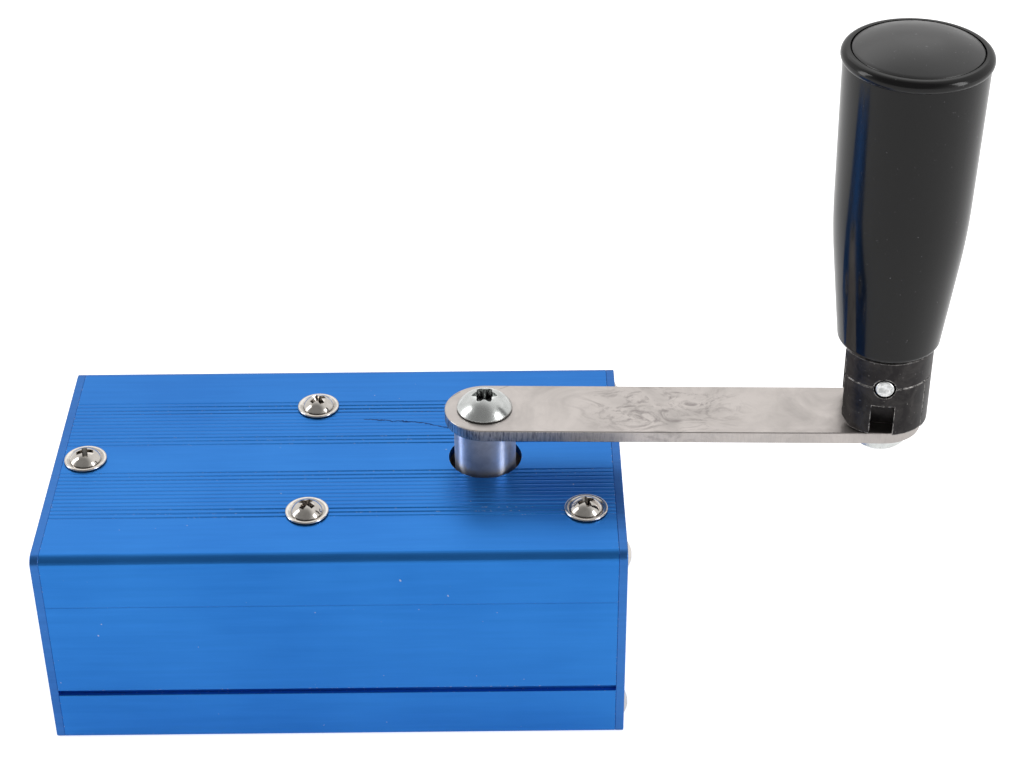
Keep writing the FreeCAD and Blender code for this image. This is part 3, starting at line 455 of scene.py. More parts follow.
def arm_steel():
    material, tree, shader = start_material("arm_steel", ARM_PALE, 1.0, 0.34)
    patches = noise(tree, coordinates(tree), 70.0, 5.0, 0.6, 1.2)
    colour = blend_colour(tree, remap(tree, patches, 0.38, 0.66), ARM_PALE, ARM_DULL)
    prints = noise(tree, coordinates(tree, (1.0, 1.6, 1.0)), 120.0, 6.0, 0.7, 2.5)
    handled = tree.nodes.new("ShaderNodeVectorMath")
    handled.operation = "LENGTH"
    link(tree, coordinates(tree, (1.0, 1.6, 0.0), shift=SMUDGE_SHIFT), handled.inputs[0])
    smudged = combine(tree, "MULTIPLY", remap(tree, prints, 0.48, 0.62, 0.0, 0.95),
                      remap(tree, handled.outputs["Value"], 10.0 * MM, 20.0 * MM, 1.0, 0.10))
    colour = blend_colour(tree, smudged, colour, ARM_SMUDGE)
    mark = combine(tree, "MAXIMUM", scratch(tree, (23.8, 3.0), (27.4, 6.4), 0.20, 0.8),
                   scratch(tree, (35.6, 7.1), (38.4, 8.6), 0.16, 0.8))
    colour = blend_colour(tree, combine(tree, "MULTIPLY", mark, 0.8), colour, ARM_SMUDGE)
    # Painted shade on the upright sides, in a bristly pattern, darkest near the hub and fading out towards the
    # handle
    facing = tree.nodes.new("ShaderNodeSeparateXYZ")
    geometry = tree.nodes.new("ShaderNodeNewGeometry")
    link(tree, geometry.outputs["Normal"], facing.inputs["Vector"])
    upright = remap(tree, combine(tree, "ABSOLUTE", facing.outputs["Z"], 0.0), 0.3, 0.8, 1.0, 0.0)
    place = tree.nodes.new("ShaderNodeSeparateXYZ")
    link(tree, coordinates(tree), place.inputs["Vector"])
    side_fade = remap(tree, place.outputs["X"], 34.0 * MM, 66.0 * MM, 1.0, 0.10)
    bristle = noise(tree, coordinates(tree, (1.0, 1.0, 0.14)), 2600.0, 3.0, 0.7)
    side_shade = combine(tree, "MULTIPLY", combine(tree, "MULTIPLY", upright, side_fade),
                         remap(tree, bristle, 0.44, 0.62, 0.0, 0.85))
    colour = blend_colour(tree, side_shade, colour, ARM_SIDE_SHADE)
    link(tree, colour, shader.inputs["Base Color"])
    brushing = noise(tree, coordinates(tree, (0.05, 1.0, 1.0)), 4200.0, 3.0)
    dents = noise(tree, coordinates(tree), 520.0, 3.0, 0.6)
    rough = combine(tree, "ADD", remap(tree, patches, 0.3, 0.7, 0.27, 0.42),
                    combine(tree, "MULTIPLY", brushing, 0.08))
    link(tree, rough, shader.inputs["Roughness"])
    bump(tree, shader, brushing, 0.012 * MM, 0.6)
    bump(tree, shader, dents, 0.03 * MM, 0.35)
    bump(tree, shader, combine(tree, "MULTIPLY", bristle, upright), 0.05 * MM, 0.6)
    return material


# %% [markdown]
# ## Black steel and black plastic
# The knuckle is steel with a black oxide skin: dark, a little shiny, with bare metal along the
# rubbed edges. The grip is hard moulded plastic polished to a gloss, with a soft waviness and a
# little dust. Its end cap is the same plastic with a satin, finely textured face.

# %% Black finishes
OXIDE = (0.019, 0.017, 0.018)
OXIDE_WORN = (0.050, 0.046, 0.045)
OXIDE_RUBBED = (0.60, 0.58, 0.56)
GLOSS_BLACK = (0.0046, 0.0044, 0.0047)
SATIN_BLACK = (0.026, 0.026, 0.027)
DUST = (0.16, 0.16, 0.17)


def black_oxide():
    material, tree, shader = start_material("black_oxide", OXIDE, 0.75, 0.36)
    patches = noise(tree, coordinates(tree), 260.0, 5.0, 0.65, 0.8)
    colour = blend_colour(tree, remap(tree, patches, 0.42, 0.72), OXIDE, OXIDE_WORN)
    rub = combine(tree, "MULTIPLY", edge_wear(tree, 0.36 * MM, 0.84, 0.98),
                  remap(tree, noise(tree, coordinates(tree), 1100.0, 4.0, 0.7), 0.42, 0.54))
    colour = blend_colour(tree, rub, colour, OXIDE_RUBBED)
    specks = remap(tree, noise(tree, coordinates(tree), 1900.0, 2.0), 0.72, 0.76, 0.0, 0.5)
    colour = blend_colour(tree, specks, colour, OXIDE_RUBBED)
    link(tree, colour, shader.inputs["Base Color"])
    link(tree, remap(tree, patches, 0.3, 0.7, 0.30, 0.44), shader.inputs["Roughness"])
    bump(tree, shader, noise(tree, coordinates(tree), 2400.0, 3.0), 0.02 * MM, 0.5)
    return material


def gloss_black():
    material, tree, shader = start_material("gloss_black", GLOSS_BLACK, 0.0, 0.14)
    waves = noise(tree, coordinates(tree), 60.0, 2.0)
    haze = noise(tree, coordinates(tree, (1.0, 1.0, 0.35)), 240.0, 5.0, 0.6)
    dust = noise(tree, coordinates(tree), 1500.0, 2.0)
    specks = remap(tree, dust, 0.735, 0.77, 0.0, 0.8)
    link(tree, blend_colour(tree, specks, GLOSS_BLACK, DUST), shader.inputs["Base Color"])
    link(tree, remap(tree, haze, 0.35, 0.75, 0.10, 0.20), shader.inputs["Roughness"])
    bump(tree, shader, waves, 0.10 * MM, 0.25)
    bump(tree, shader, noise(tree, coordinates(tree), 3000.0, 2.0), 0.004 * MM, 0.4)
    shader.inputs["Specular IOR Level"].default_value = 0.34
    return material


def satin_black():
    material, tree, shader = start_material("satin_black", SATIN_BLACK, 0.0, 0.42)
    grain = noise(tree, coordinates(tree), 3800.0, 3.0)
    haze = noise(tree, coordinates(tree), 130.0, 3.0)
    dust = remap(tree, noise(tree, coordinates(tree), 1700.0, 2.0), 0.72, 0.76, 0.0, 0.8)
    link(tree, blend_colour(tree, dust, SATIN_BLACK, DUST), shader.inputs["Base Color"])
    link(tree, remap(tree, haze, 0.3, 0.7, 0.28, 0.38), shader.inputs["Roughness"])
    bump(tree, shader, grain, 0.02 * MM, 0.5)
    shader.inputs["Specular IOR Level"].default_value = 0.75
    return material


# %% [markdown]
# ## Plain finishes for the inside and the back
# What is inside the closed case hardly shows, but a dark gap round the shaft looks into it. A
# short recipe with its own colour, grain and roughness per slot is enough there, and for the
# two output sockets in the left end plate.

# %% Plain finishes
def plain_finish(name, colour, metallic, roughness, grain_scale=1800.0):
    material, tree, shader = start_material(name, colour, metallic, roughness)
    patches = noise(tree, coordinates(tree), 300.0, 4.0)
    darker = tuple(0.72 * channel for channel in colour)
    link(tree, blend_colour(tree, remap(tree, patches, 0.35, 0.65), colour, darker),
         shader.inputs["Base Color"])
    link(tree, remap(tree, patches, 0.3, 0.7, roughness, roughness + 0.12),
         shader.inputs["Roughness"])
    bump(tree, shader, noise(tree, coordinates(tree), grain_scale, 2.0), 0.01 * MM, 0.4)
    return material


finishes = {
    "blue_anodised": blue_anodised("blue_anodised", ANODISED_DEEP, ANODISED_LIGHT, 0.08),
    "nickel_screw": bright_metal("nickel_screw", (0.78, 0.74, 0.69), (0.66, 0.62, 0.58), 0.07,
                                 (1.0, 1.0, 1.0), 0.004 * MM, 0.06, 600.0, 0.9),
    "zinc_screw": bright_metal("zinc_screw", (0.80, 0.82, 0.81), (0.62, 0.64, 0.63), 0.16,
                               (1.0, 1.0, 1.0), 0.008 * MM, 0.14, 420.0, 1.6),
    "arm_steel": arm_steel(),
    "polished_steel": turned_steel(),
    "pin_steel": bright_metal("pin_steel", (0.95, 0.96, 0.96), (0.50, 0.51, 0.50), 0.34,
                              (1.0, 0.1, 1.0), 0.02 * MM, 0.15, 1100.0),
    "black_oxide": black_oxide(),
    "gloss_black": gloss_black(),
    "satin_black": satin_black(),
    "gear_brass": plain_finish("gear_brass", (0.60, 0.42, 0.16), 1.0, 0.28),
    "bush_bronze": plain_finish("bush_bronze", (0.12, 0.07, 0.04), 1.0, 0.45),
    "plain_aluminium": plain_finish("plain_aluminium", (0.56, 0.57, 0.59), 1.0, 0.38),
    "core_steel": plain_finish("core_steel", (0.18, 0.18, 0.20), 1.0, 0.45),
    "coil_copper": plain_finish("coil_copper", (0.52, 0.17, 0.07), 0.9, 0.32),
    "magnet_grey": plain_finish("magnet_grey", (0.32, 0.32, 0.34), 1.0, 0.35),
    "board_green": plain_finish("board_green", (0.012, 0.10, 0.035), 0.0, 0.40),
    "part_black": plain_finish("part_black", (0.018, 0.018, 0.018), 0.0, 0.50),
    "red_plastic": plain_finish("red_plastic", (0.42, 0.012, 0.010), 0.0, 0.30),
    "black_plastic": plain_finish("black_plastic", (0.012, 0.012, 0.013), 0.0, 0.30),
}

# The end plates were cut and dyed apart from the shells, and came out greyer and more chipped
plate_blue = blue_anodised("plate_blue", PLATE_DEEP, PLATE_LIGHT, 0.15)

# %% [markdown]
# ## Dress the frame
# Every solid of the engineering model first gets the finish that its record names. The pieces
# that the eye rests on are then replaced one by one with finer meshes.

# %% Give every node its finish
node_slot = {part["node"]: part["material_slot"] for part in frame["record"]["subparts"]}
body_of = {node: body for body, nodes in frame["record"]["behaviour"]["bodies"].items()
           for node in nodes}
for node, thing in frame["nodes"].items():
    thing.data.materials.clear()
    thing.data.materials.append(finishes[node_slot[node]])
print("finishes:", len(finishes))

# %% [markdown]
# ## Small tools for shapes
# Screws, the shaft and the handle are round, so they are made as on a lathe: half an outline
# is drawn from the axis outwards, in millimetres, and spun. An arc or a dome in the outline is
# a short run of points. A spin leaves doubled points on the axis, which are merged before the
# faces are turned outwards.

# %% Outlines and turned shapes
def arc(centre, radius, start, end, steps):
    angles = [math.radians(start + (end - start) * step / steps) for step in range(steps + 1)]
    return [(centre[0] + radius * math.cos(angle), centre[1] + radius * math.sin(angle))
            for angle in angles]


def dome(radius, bottom, height, steps=10):
    """The outline of a shallow ball cap, from its rim to its top on the axis."""
    ball = (radius ** 2 + height ** 2) / (2.0 * height)
    rim = math.degrees(math.acos(radius / ball))
    return arc((0.0, bottom + height - ball), ball, rim, 90.0, steps)


def turned(outline, segments=128):
    bm = bmesh.new()
    points = [bm.verts.new((distance, 0.0, height)) for distance, height in outline]
    edges = [bm.edges.new(pair) for pair in zip(points, points[1:])]
    bmesh.ops.spin(bm, geom=points + edges, cent=(0.0, 0.0, 0.0), axis=(0.0, 0.0, 1.0),
                   angle=math.tau, steps=segments, use_merge=True)
    bmesh.ops.remove_doubles(bm, verts=bm.verts, dist=0.0005)
    bmesh.ops.recalc_face_normals(bm, faces=bm.faces)
    return bm


# %% [markdown]
# Blocks start as a unit cube that is stretched, and rods as a cone with two equal ends. A flat
# outline of any shape becomes a solid when its face is extruded and the copy lifted.

# %% Straight shapes
def bar(x_from, x_to, y_from, y_to, z_from, z_to):
    bm = bmesh.new()
    middle = Matrix.Translation(((x_from + x_to) / 2, (y_from + y_to) / 2, (z_from + z_to) / 2))
    size = Matrix.Diagonal((x_to - x_from, y_to - y_from, z_to - z_from, 1.0))
    bmesh.ops.create_cube(bm, size=1.0, matrix=middle @ size)
    return bm


def rod_along_y(radius, half_length, z, segments=64):
    bm = bmesh.new()
    lying = Matrix.Translation((0.0, 0.0, z)) @ Matrix.Rotation(math.pi / 2.0, 4, "X")
    bmesh.ops.create_cone(bm, cap_ends=True, segments=segments, radius1=radius, radius2=radius,
                          depth=2.0 * half_length, matrix=lying)
    return bm


def raise_flat(bm, height):
    """Pull the flat face of a new outline straight up into a solid."""
    grown = bmesh.ops.extrude_face_region(bm, geom=bm.faces[:])["geom"]
    tops = [item for item in grown if isinstance(item, bmesh.types.BMVert)]
    bmesh.ops.translate(bm, vec=(0.0, 0.0, height), verts=tops)
    bmesh.ops.recalc_face_normals(bm, faces=bm.faces)
    return bm


# %% [markdown]
# Recesses and slots are cut with exact booleans, as a mill would cut them. No real edge is
# perfectly sharp, so `soften` bevels the sharp ones, and that thin bevel catches the light.
# `finish_piece` comes last for every piece: it turns millimetres into metres, puts the piece in
# its place, weights its normals by face size so that the flats stay flat, gives it the finish
# and body of the node of the frame that it stands for, and hides that node.

# %% Cutting, softening and joining
def as_object(name, bm):
    mesh = bpy.data.meshes.new(name)
    bm.to_mesh(mesh)
    bm.free()
    thing = bpy.data.objects.new(name, mesh)
    scene.collection.objects.link(thing)
    return thing


def carved(bm, cutters):
    """Cut closed meshes out of another and give back the result."""
    blank = as_object("blank", bm)
    tools = [as_object("tool", cutter) for cutter in cutters]
    for tool in tools:
        cut = blank.modifiers.new("cut", "BOOLEAN")
        cut.solver = "EXACT"
        cut.object = tool
    seen = blank.evaluated_get(bpy.context.evaluated_depsgraph_get())
    result = bmesh.new()
    result.from_mesh(seen.to_mesh())
    for thing in [blank] + tools:
        bpy.data.objects.remove(thing)
    return result


def soften(bm, width, steps=2, sharpest=35.0):
    sharp = [edge for edge in bm.edges if len(edge.link_faces) == 2
             and edge.calc_face_angle() > math.radians(sharpest)]
    bmesh.ops.bevel(bm, geom=sharp, offset=width, segments=steps, profile=0.5,
                    affect="EDGES", clamp_overlap=True)
    return bm


def joined(shapes):
    """One mesh out of several (mesh, place) pairs."""
    whole = bmesh.new()
    for shape, place in shapes:
        bmesh.ops.transform(shape, matrix=place, verts=shape.verts)
        mesh = bpy.data.meshes.new("part")
        shape.to_mesh(mesh)
        shape.free()
        whole.from_mesh(mesh)
        bpy.data.meshes.remove(mesh)
    return whole


def finish_piece(name, bm, place, node, sharp=38.0, finish=None):
    """Scale a mesh from millimetres, put it in its place and let it stand for a CAD node."""
    bmesh.ops.transform(bm, matrix=place @ Matrix.Scale(MM, 4), verts=bm.verts)
    piece = as_object(name, bm)
    piece.data.polygons.foreach_set("use_smooth", [True] * len(piece.data.polygons))
    piece.data.set_sharp_from_angle(angle=math.radians(sharp))
    normals = piece.modifiers.new("normals", "WEIGHTED_NORMAL")
    normals.keep_sharp = True
    piece.data.materials.append(finish or finishes[node_slot[node]])
    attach(piece, body_of[node])
    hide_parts(node)
    print(name, "faces:", len(piece.data.polygons))


# %% [markdown]
# ## Places
# The frame knows where everything is. The crank's axis and the hinge's place and direction come
# from its joints, and the arm simply runs from one to the other. Heights are read from the
# boxes of the nodes and turned into millimetres, because the shapes are drawn in those.

# %% Read the places from the frame
def top_of(node):
    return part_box(node)[1].z / MM


def foot_of(node):
    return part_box(node)[0].z / MM


joints = {joint["name"]: joint for joint in frame["joints"]}
crank_axis = Vector((*joints["crank_turn"]["pos_m"][:2], 0.0))
hinge_place = Vector(joints["handle_fold"]["pos_m"])
hinge_axis = Vector(joints["handle_fold"]["axis"])
grip_axis = Vector((hinge_place.x, hinge_place.y, 0.0))
throw = (grip_axis - crank_axis).length / MM
arm_turn = math.atan2((grip_axis - crank_axis).y, (grip_axis - crank_axis).x)
knuckle_turn = math.atan2(hinge_axis.x, -hinge_axis.y)

at_origin = Matrix.Identity(4)
at_crank = Matrix.Translation(crank_axis) @ Matrix.Rotation(arm_turn, 4, "Z")
at_grip = Matrix.Translation(grip_axis) @ Matrix.Rotation(knuckle_turn, 4, "Z")

lid = top_of("upper_shell")
arm_under = foot_of("crank_arm")
arm_top = top_of("crank_arm")
pin_level = hinge_place.z / MM
fork_under = foot_of("hinge_fork")
neck_top = top_of("hinge_fork")
grip_under = foot_of("grip_sleeve")
grip_top = top_of("grip_sleeve")
print("arm length between its axes:", round(throw, 2), "mm")

# %% [markdown]
# ## The case
# The case is two extruded shells stacked on each other with a flat plate on each end. The
# shells start as copies of the engineering model's meshes. The lid's flutes and the line along
# its side are made shallower there, because on the real case they are only fine lines, and the
# lower shell gets a bevel along its lip, which catches the light under the groove.
# Each end plate is a block whose corners follow the shells. Its rim is then rounded a little,
# and that rounding makes the dark seam where plate and shell meet.

# %% Shells and end plates
PLATE_TOP_CORNER = 2.2
PLATE_BASE_CORNER = 1.0
PLATE_RIM = 0.22
FLUTE_DEPTH = 0.16
FLUTE_SHOWN = 0.065
LINE_DEPTH = 0.15
LINE_SHOWN = 0.05
LIP_BEVEL = 0.22

case_low, case_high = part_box("right_end_plate")
case_end = case_high.x / MM
case_side = case_high.y / MM
plate_inner = case_low.x / MM


def welded_copy(node):
    bm = bmesh.new()
    bm.from_mesh(frame["nodes"][node].data)
    bmesh.ops.remove_doubles(bm, verts=bm.verts, dist=0.002 * MM)
    bmesh.ops.transform(bm, matrix=Matrix.Scale(1.0 / MM, 4), verts=bm.verts)
    return bm


def make_upper_shell():
    bm = welded_copy("upper_shell")
    flutes = [vert for vert in bm.verts if abs(vert.co.z - (lid - FLUTE_DEPTH)) < 0.01
              and abs(vert.co.y) < case_side - 2.0 * PLATE_TOP_CORNER]
    bmesh.ops.translate(bm, vec=(0.0, 0.0, FLUTE_DEPTH - FLUTE_SHOWN), verts=flutes)
    for side in (-1.0, 1.0):
        line = [vert for vert in bm.verts
                if abs(side * vert.co.y - (case_side - LINE_DEPTH)) < 0.01
                and vert.co.z < lid - 2.0 * PLATE_TOP_CORNER]
        bmesh.ops.translate(bm, vec=(0.0, side * (LINE_DEPTH - LINE_SHOWN), 0.0), verts=line)
    finish_piece("upper_case", bm, at_origin, "upper_shell", 12.0)


def make_lower_shell():
    bm = welded_copy("lower_shell")
    height = top_of("lower_shell")
    lip = [edge for edge in bm.edges if all(abs(vert.co.z - height) < 0.01
           and abs(abs(vert.co.y) - case_side) < 0.01 for vert in edge.verts)]
    bmesh.ops.bevel(bm, geom=lip, offset=LIP_BEVEL, segments=2, profile=0.5, affect="EDGES")
    finish_piece("lower_case", bm, at_origin, "lower_shell", 30.0)


def make_end_plate(name, x_from, x_to):
    bm = bar(x_from, x_to, -case_side, case_side, 0.0, lid)
    for level, radius in ((lid, PLATE_TOP_CORNER), (0.0, PLATE_BASE_CORNER)):
        corners = [edge for edge in bm.edges if all(abs(vert.co.z - level) < 0.01
                   for vert in edge.verts) and edge.verts[0].co.y == edge.verts[1].co.y]
        bmesh.ops.bevel(bm, geom=corners, offset=radius, segments=8, profile=0.5,
                        affect="EDGES")
    finish_piece(name + "_plate", soften(bm, PLATE_RIM, 3, 60.0), at_origin,
                 name + "_end_plate", finish=plate_blue)


make_upper_shell()
make_lower_shell()
make_end_plate("right", plate_inner, case_end)
make_end_plate("left", -case_end, -plate_inner)

# %% [markdown]
# ## Screws
# Five washer-head screws hold the lid. Each has a thin flange with a rounded rim, a shallow
# groove and a domed head with a cross recess. The recess wings taper towards the bottom, as
# the driver's tip does. Every screw stopped at its own angle, because nobody lines them up.

# %% Screw shapes
def cross_recess(length, width, bottom, top):
    wings = []
    for turn in (0.0, math.pi / 2.0):
        wing = bar(-length / 2, length / 2, -width / 2, width / 2, bottom, top)
        low = [vert for vert in wing.verts if vert.co.z < (bottom + top) / 2]
        bmesh.ops.scale(wing, vec=(0.35, 0.6, 1.0), verts=low)
        bmesh.ops.rotate(wing, matrix=Matrix.Rotation(turn, 3, "Z"), verts=wing.verts)
        wings.append(wing)
    return wings


def cover_screw():
    reach = 7.2
    shank = 2.0
    flange = 4.5
    head = 3.45
    groove = [(3.95, 0.60), (3.70, 0.42), (3.52, 0.42)]
    outline = [(0.0, -reach), (shank, -reach), (shank, 0.0), (flange, 0.0)]
    outline += arc((flange - 0.12, 0.33), 0.30, -45.0, 95.0, 6) + groove
    outline += dome(head, 0.62, 1.88, 12)
    return carved(turned(outline, 96), cross_recess(5.2, 1.35, 0.7, 3.1))


def end_screw():
    reach = 8.0
    shank = 1.5
    head = 2.8
    outline = [(0.0, -reach), (shank, -reach), (shank, 0.0), (head, 0.0)]
    outline += dome(head, 0.15, 0.95, 8)
    return carved(turned(outline, 64), cross_recess(3.4, 0.85, 0.4, 1.6))


# %% [markdown]
# Four of the lid's screws stand where the photograph shows them: one at the left, two in the
# middle and one at the right. The fifth, under the arm, is hidden there and mirrors the right
# one. Those of the end plates are set in from the corners and are first turned by a right
# angle, so that they point into their plate.

# %% Place the screws
SCREW_LEFT_INSET = 6.8
SCREW_RIGHT_INSET = 8.3
SCREW_MIDDLE_X = -5.5
SCREW_SIDE = 19.5
END_SCREW_SIDE_INSET = 5.4
END_SCREW_HEIGHT_INSET = 4.3
SCREW_TURNS = (12.0, 55.0, 35.0, 20.0, 70.0)


def make_cover_screws():
    left = -case_end + SCREW_LEFT_INSET
    right = case_end - SCREW_RIGHT_INSET
    places = [(left, 0.0), (SCREW_MIDDLE_X, -SCREW_SIDE), (SCREW_MIDDLE_X, SCREW_SIDE),
              (right, -SCREW_SIDE), (right, SCREW_SIDE)]
    screws = []
    for (x, y), turn in zip(places, SCREW_TURNS):
        place = Matrix.Translation((x, y, lid)) @ Matrix.Rotation(math.radians(turn), 4, "Z")
        screws.append((cover_screw(), place))
    finish_piece("lid_screws", joined(screws), at_origin, "top_cover_screws")


def make_end_screws():
    side = case_side - END_SCREW_SIDE_INSET
    for direction, name in ((-1.0, "left"), (1.0, "right")):
        screws = []
        for y in (-side, side):
            for z in (END_SCREW_HEIGHT_INSET, lid - END_SCREW_HEIGHT_INSET):
                place = (Matrix.Translation((direction * case_end, y, z))
                         @ Matrix.Rotation(direction * math.pi / 2.0, 4, "Y")
                         @ Matrix.Rotation(0.3 * y + z, 4, "Z"))
                screws.append((end_screw(), place))
        finish_piece("end_screws_" + name, joined(screws), at_origin,
                     "end_plate_screws_" + name)


make_cover_screws()
make_end_screws()

# %% [markdown]
# ## Crank shaft and arm
# The shaft is turned from one bar, and only its polished hub shows above the lid. Below it are
# the seats of the top bush, the gear and the lower bush, each a step in the outline. Above it a
# short spigot goes through the arm. The steps are softened as a lathe tool would leave them.

# %% Crank shaft
HUB_RADIUS = 6.75
HUB_SINK = 5.6
JOURNAL_RADIUS = 6.0
SHAFT_RADIUS = 5.0
FOOT_RADIUS = 4.0
FOOT_LENGTH = 4.5
SPIGOT_RADIUS = 3.6
GEAR_SEAT_TOP = 20.5
TOP_BUSH_UNDER = 38.2


def make_shaft():
    foot = foot_of("crank_shaft")
    hub_under = lid - HUB_SINK
    seat_under = foot + FOOT_LENGTH
    outline = [(0.0, foot), (FOOT_RADIUS, foot), (FOOT_RADIUS, seat_under),
               (JOURNAL_RADIUS, seat_under), (JOURNAL_RADIUS, GEAR_SEAT_TOP),
               (SHAFT_RADIUS, GEAR_SEAT_TOP),
               (SHAFT_RADIUS, TOP_BUSH_UNDER - 0.2), (JOURNAL_RADIUS, TOP_BUSH_UNDER - 0.2),
               (JOURNAL_RADIUS, hub_under), (HUB_RADIUS, hub_under), (HUB_RADIUS, arm_under),
               (SPIGOT_RADIUS, arm_under), (SPIGOT_RADIUS, arm_top - 0.2), (0.0, arm_top - 0.2)]
    finish_piece("shaft", soften(turned(outline), 0.2), at_crank, "crank_shaft")


make_shaft()

# %% [markdown]
# The arm is a flat bar with round ends. It starts as a circle: the half that looks towards the
# handle is slid along by the arm's length, which leaves an outline with two round ends, and
# that is raised and its edges rounded. A large domed screw clamps it to the shaft. Its recess
# is a circle pushed in and out six times, and it is cut out before the rim is softened.

# %% Crank arm
ARM_WIDTH = 17.4
ARM_EDGE = 0.28


def make_arm():
    bm = bmesh.new()
    half_step = Matrix.Rotation(math.pi / 128.0, 4, "Z")
    bmesh.ops.create_circle(bm, cap_ends=True, segments=128, radius=ARM_WIDTH / 2.0,
                            matrix=Matrix.Translation((0.0, 0.0, arm_under)) @ half_step)
    far_half = [vert for vert in bm.verts if vert.co.x > 0.0]
    bmesh.ops.translate(bm, vec=(throw, 0.0, 0.0), verts=far_half)
    raise_flat(bm, arm_top - arm_under)
    finish_piece("arm", soften(bm, ARM_EDGE, 3), at_crank, "crank_arm")


def lobed_recess(radius, bottom, top):
    bm = bmesh.new()
    bmesh.ops.create_circle(bm, cap_ends=True, segments=72, radius=radius,
                            matrix=Matrix.Translation((0.0, 0.0, bottom)))
    for vert in bm.verts:
        wave = 1.0 + 0.17 * math.cos(6.0 * math.atan2(vert.co.y, vert.co.x))
        vert.co.x *= wave
        vert.co.y *= wave
    return raise_flat(bm, top - bottom)


def make_arm_screw():
    head = 6.05
    height = 3.9
    outline = [(0.0, arm_top - 12.0), (3.0, arm_top - 12.0), (3.0, arm_top), (head - 0.5, arm_top)]
    outline += [(head - 0.5, arm_top + 0.16), (head, arm_top + 0.22), (head, arm_top + 0.5)]
    outline += dome(head - 0.05, arm_top + 0.6, height - 0.6, 14)
    recess = lobed_recess(2.35, arm_top + height - 2.8, arm_top + height + 1.0)
    finish_piece("arm_bolt", soften(carved(turned(outline), [recess]), 0.08, 2, 50.0), at_crank,
                 "arm_screw")


make_arm()
make_arm_screw()

# %% [markdown]
# ## The knuckle
# The handle folds at a knuckle. A black steel fork is slotted from below over a tongue that is
# screwed to the arm, and a cross pin holds the two together. The fork is one turned drum with
# a fine scribed line at the pin's height. Its slot, its pocket, the notch at its foot and the
# pin's hole are cut out of it, in the order in which a machinist would do it.

# %% Fork and tongue
KNUCKLE_RADIUS = 9.85
NECK_RADIUS = 8.6
SLOT_HALF = 5.0
TONGUE_HALF = 4.9
POCKET_HALF = 3.7
LUG_HALF = 3.5
LUG_RADIUS = 4.1
LUG_RISE = 7.8
NOTCH_WIDTH = 4.9
NOTCH_HEIGHT = 7.6
PIN_RADIUS = 1.93
PIN_HOLE_RADIUS = 2.35
SCRIBE = 0.16
FOOT_CORNER = 1.6
CUT = 1.0


def foot_corner_cutter():
    """A tilted block that takes the lower left corner off both cheeks."""
    size = 12.0
    edge = -math.sqrt(KNUCKLE_RADIUS ** 2 - SLOT_HALF ** 2)
    middle = Vector((edge + FOOT_CORNER / 2.0, 0.0, fork_under + FOOT_CORNER / 2.0))
    middle -= Vector((1.0, 0.0, 1.0)).normalized() * size / 2.0
    bm = bmesh.new()
    tilt = Matrix.Translation(middle) @ Matrix.Rotation(math.radians(45.0), 4, "Y")
    bmesh.ops.create_cube(bm, size=1.0, matrix=tilt @ Matrix.Diagonal((size, 24.0, size, 1.0)))
    return bm


def make_fork():
    fork_top = grip_under - 0.3
    reach = KNUCKLE_RADIUS + CUT
    outline = [(0.0, fork_under), (KNUCKLE_RADIUS, fork_under),
               (KNUCKLE_RADIUS, pin_level - SCRIBE), (KNUCKLE_RADIUS - SCRIBE, pin_level),
               (KNUCKLE_RADIUS, pin_level + SCRIBE), (KNUCKLE_RADIUS, fork_top - 0.3),
               (KNUCKLE_RADIUS - 0.3, fork_top), (NECK_RADIUS, fork_top),
               (NECK_RADIUS, neck_top), (0.0, neck_top)]
    cutters = [
        bar(-reach, reach, -SLOT_HALF, SLOT_HALF, fork_under - CUT, pin_level),
        bar(-reach, 0.0, -SLOT_HALF, SLOT_HALF, pin_level - CUT, fork_top),
        bar(-LUG_RADIUS, 7.2, -POCKET_HALF, POCKET_HALF, pin_level - 1.5, fork_top + CUT),
        bar(-LUG_RADIUS - 0.2, 6.2, -POCKET_HALF, POCKET_HALF, fork_top - 1.5,
            pin_level + LUG_RISE + LUG_RADIUS + 0.4),
        bar(-NOTCH_WIDTH / 2, NOTCH_WIDTH / 2, -reach, reach, fork_under - 1.5,
            arm_top + NOTCH_HEIGHT),
        rod_along_y(PIN_HOLE_RADIUS, reach, pin_level),
        foot_corner_cutter(),
    ]
    finish_piece("fork", soften(carved(turned(outline, 160), cutters), 0.12), at_grip,
                 "hinge_fork")


def make_tongue():
    foot_top = pin_level - 0.2
    reach = KNUCKLE_RADIUS + CUT
    drum = turned([(0.0, arm_top), (KNUCKLE_RADIUS, arm_top), (KNUCKLE_RADIUS, foot_top),
                   (0.0, foot_top)], 160)
    foot = carved(drum, [
        bar(-reach, reach, TONGUE_HALF, reach, arm_top - CUT, foot_top + CUT),
        bar(-reach, reach, -reach, -TONGUE_HALF, arm_top - CUT, foot_top + CUT),
        bar(-reach, -7.0, -reach, reach, arm_top - 1.5, foot_top + 1.5)])
    lug = bar(-LUG_RADIUS, LUG_RADIUS, -LUG_HALF, LUG_HALF, foot_top - 1.0, pin_level + LUG_RISE)
    crown = rod_along_y(LUG_RADIUS, LUG_HALF, pin_level + LUG_RISE)
    shapes = [(soften(shape, 0.12), at_origin) for shape in (foot, lug, crown)]
    finish_piece("tongue", joined(shapes), at_grip, "knuckle_tongue")


# %% [markdown]
# The pin is cut to the drum's width and only its two ends show. It is spun upright and then
# laid along the hinge. The screw that holds the tongue comes from below, so its head is drawn
# pointing up and the whole screw is turned over.

# %% Pin and lower screw
def make_pin():
    half = KNUCKLE_RADIUS + 0.05
    outline = [(0.0, -half), (PIN_RADIUS - 0.2, -half), (PIN_RADIUS, -half + 0.2),
               (PIN_RADIUS, half - 0.2), (PIN_RADIUS - 0.2, half), (0.0, half)]
    pin = soften(turned(outline, 64), 0.06)
    lying = Matrix.Translation((0.0, 0.0, pin_level)) @ Matrix.Rotation(math.pi / 2.0, 4, "X")
    bmesh.ops.transform(pin, matrix=lying, verts=pin.verts)
    finish_piece("pin", pin, at_grip, "hinge_pin")


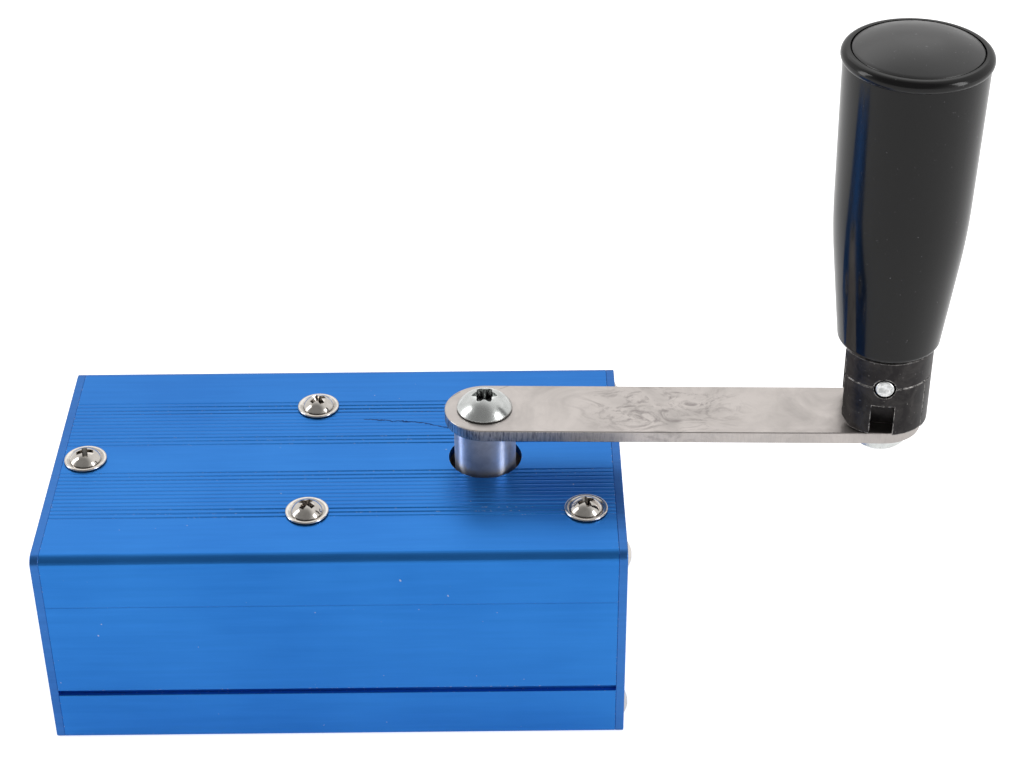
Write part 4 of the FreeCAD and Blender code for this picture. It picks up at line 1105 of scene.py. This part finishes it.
def make_lower_screw():
    head = 5.85
    skirt = 3.2
    lowest = foot_of("knuckle_screw")
    rise = arm_under - skirt - lowest
    outline = [(0.0, -arm_top - 8.0), (3.0, -arm_top - 8.0), (3.0, -arm_under)]
    outline += [(head - 0.2, -arm_under), (head, -arm_under + 0.2)]
    outline += dome(head, -arm_under + skirt, rise, 14)
    screw = turned(outline)
    bmesh.ops.rotate(screw, matrix=Matrix.Rotation(math.pi, 3, "X"), verts=screw.verts)
    finish_piece("lower_screw", screw, at_grip, "knuckle_screw")


make_fork()
make_tongue()
make_pin()
make_lower_screw()

# %% [markdown]
# ## The handle
# The handle is moulded plastic that turns on a spindle hidden inside it. Its outline widens
# quickly from the foot to a soft waist, then hardly at all, and ends in a raised bead. The
# waist is blended with an arc, because a moulded part has no hard ring there. A satin cap
# with a low dome closes the top and leaves a fine seam inside the bead.

# %% Handle and cap
GRIP_BASE_RADIUS = 10.9
GRIP_WAIST_RADIUS = 13.8
GRIP_WAIST_RISE = 27.0
GRIP_RIM_RADIUS = 14.6
GRIP_BEAD_RADIUS = 15.1
BEAD = 1.4
CAP_RADIUS = 13.0
CAP_SEAT = 1.9
CAP_DOME = 3.1
FOOT_ROUND = 1.2
WELL_RADIUS = 10.5
WELL_DEPTH = 8.6
SPINDLE_BORE = 4.03
NECK_BORE = NECK_RADIUS + 0.03


def blended(before, corner, after, reach, steps=8):
    """Points of a smooth curve that rounds a corner, from `reach` before it to after it."""
    def towards(point, amount):
        length = math.dist(corner, point)
        return [c + (p - c) * amount / length for c, p in zip(corner, point)]
    start = towards(before, reach)
    end = towards(after, reach)
    points = []
    for step in range(steps + 1):
        t = step / steps
        points.append(tuple((1 - t) ** 2 * s + 2 * t * (1 - t) * c + t ** 2 * e
                            for s, c, e in zip(start, corner, end)))
    return points


def make_grip():
    foot = (GRIP_BASE_RADIUS, grip_under + FOOT_ROUND)
    waist = (GRIP_WAIST_RADIUS, grip_under + GRIP_WAIST_RISE)
    rim = (GRIP_RIM_RADIUS, grip_top - 2.0 * BEAD - 0.3)
    bead_middle = (GRIP_BEAD_RADIUS - BEAD, grip_top - BEAD)
    web_top = grip_top - WELL_DEPTH
    foot_middle = (GRIP_BASE_RADIUS - FOOT_ROUND, grip_under + FOOT_ROUND)
    outline = [(NECK_BORE, grip_under)] + arc(foot_middle, FOOT_ROUND, -90.0, 0.0, 5)
    outline += blended(foot, waist, rim, 7.0)
    outline += [rim] + arc(bead_middle, BEAD, -50.0, 90.0, 14)
    outline += [(CAP_RADIUS + 0.25, grip_top), (CAP_RADIUS + 0.2, grip_top - 0.1),
                (CAP_RADIUS + 0.2, grip_top - CAP_SEAT), (WELL_RADIUS, grip_top - CAP_SEAT),
                (WELL_RADIUS, web_top), (SPINDLE_BORE, web_top), (SPINDLE_BORE, neck_top + 0.2),
                (NECK_BORE, neck_top + 0.2), (NECK_BORE, grip_under)]
    finish_piece("grip", turned(outline, 192), at_grip, "grip_sleeve")


def make_cap():
    seat = grip_top - CAP_SEAT
    outline = [(0.0, seat), (CAP_RADIUS, seat), (CAP_RADIUS, grip_top - 0.25)]
    outline += dome(CAP_RADIUS - 0.15, grip_top, CAP_DOME, 20)
    finish_piece("cap", turned(outline, 192), at_grip, "grip_cap")


make_grip()
make_cap()
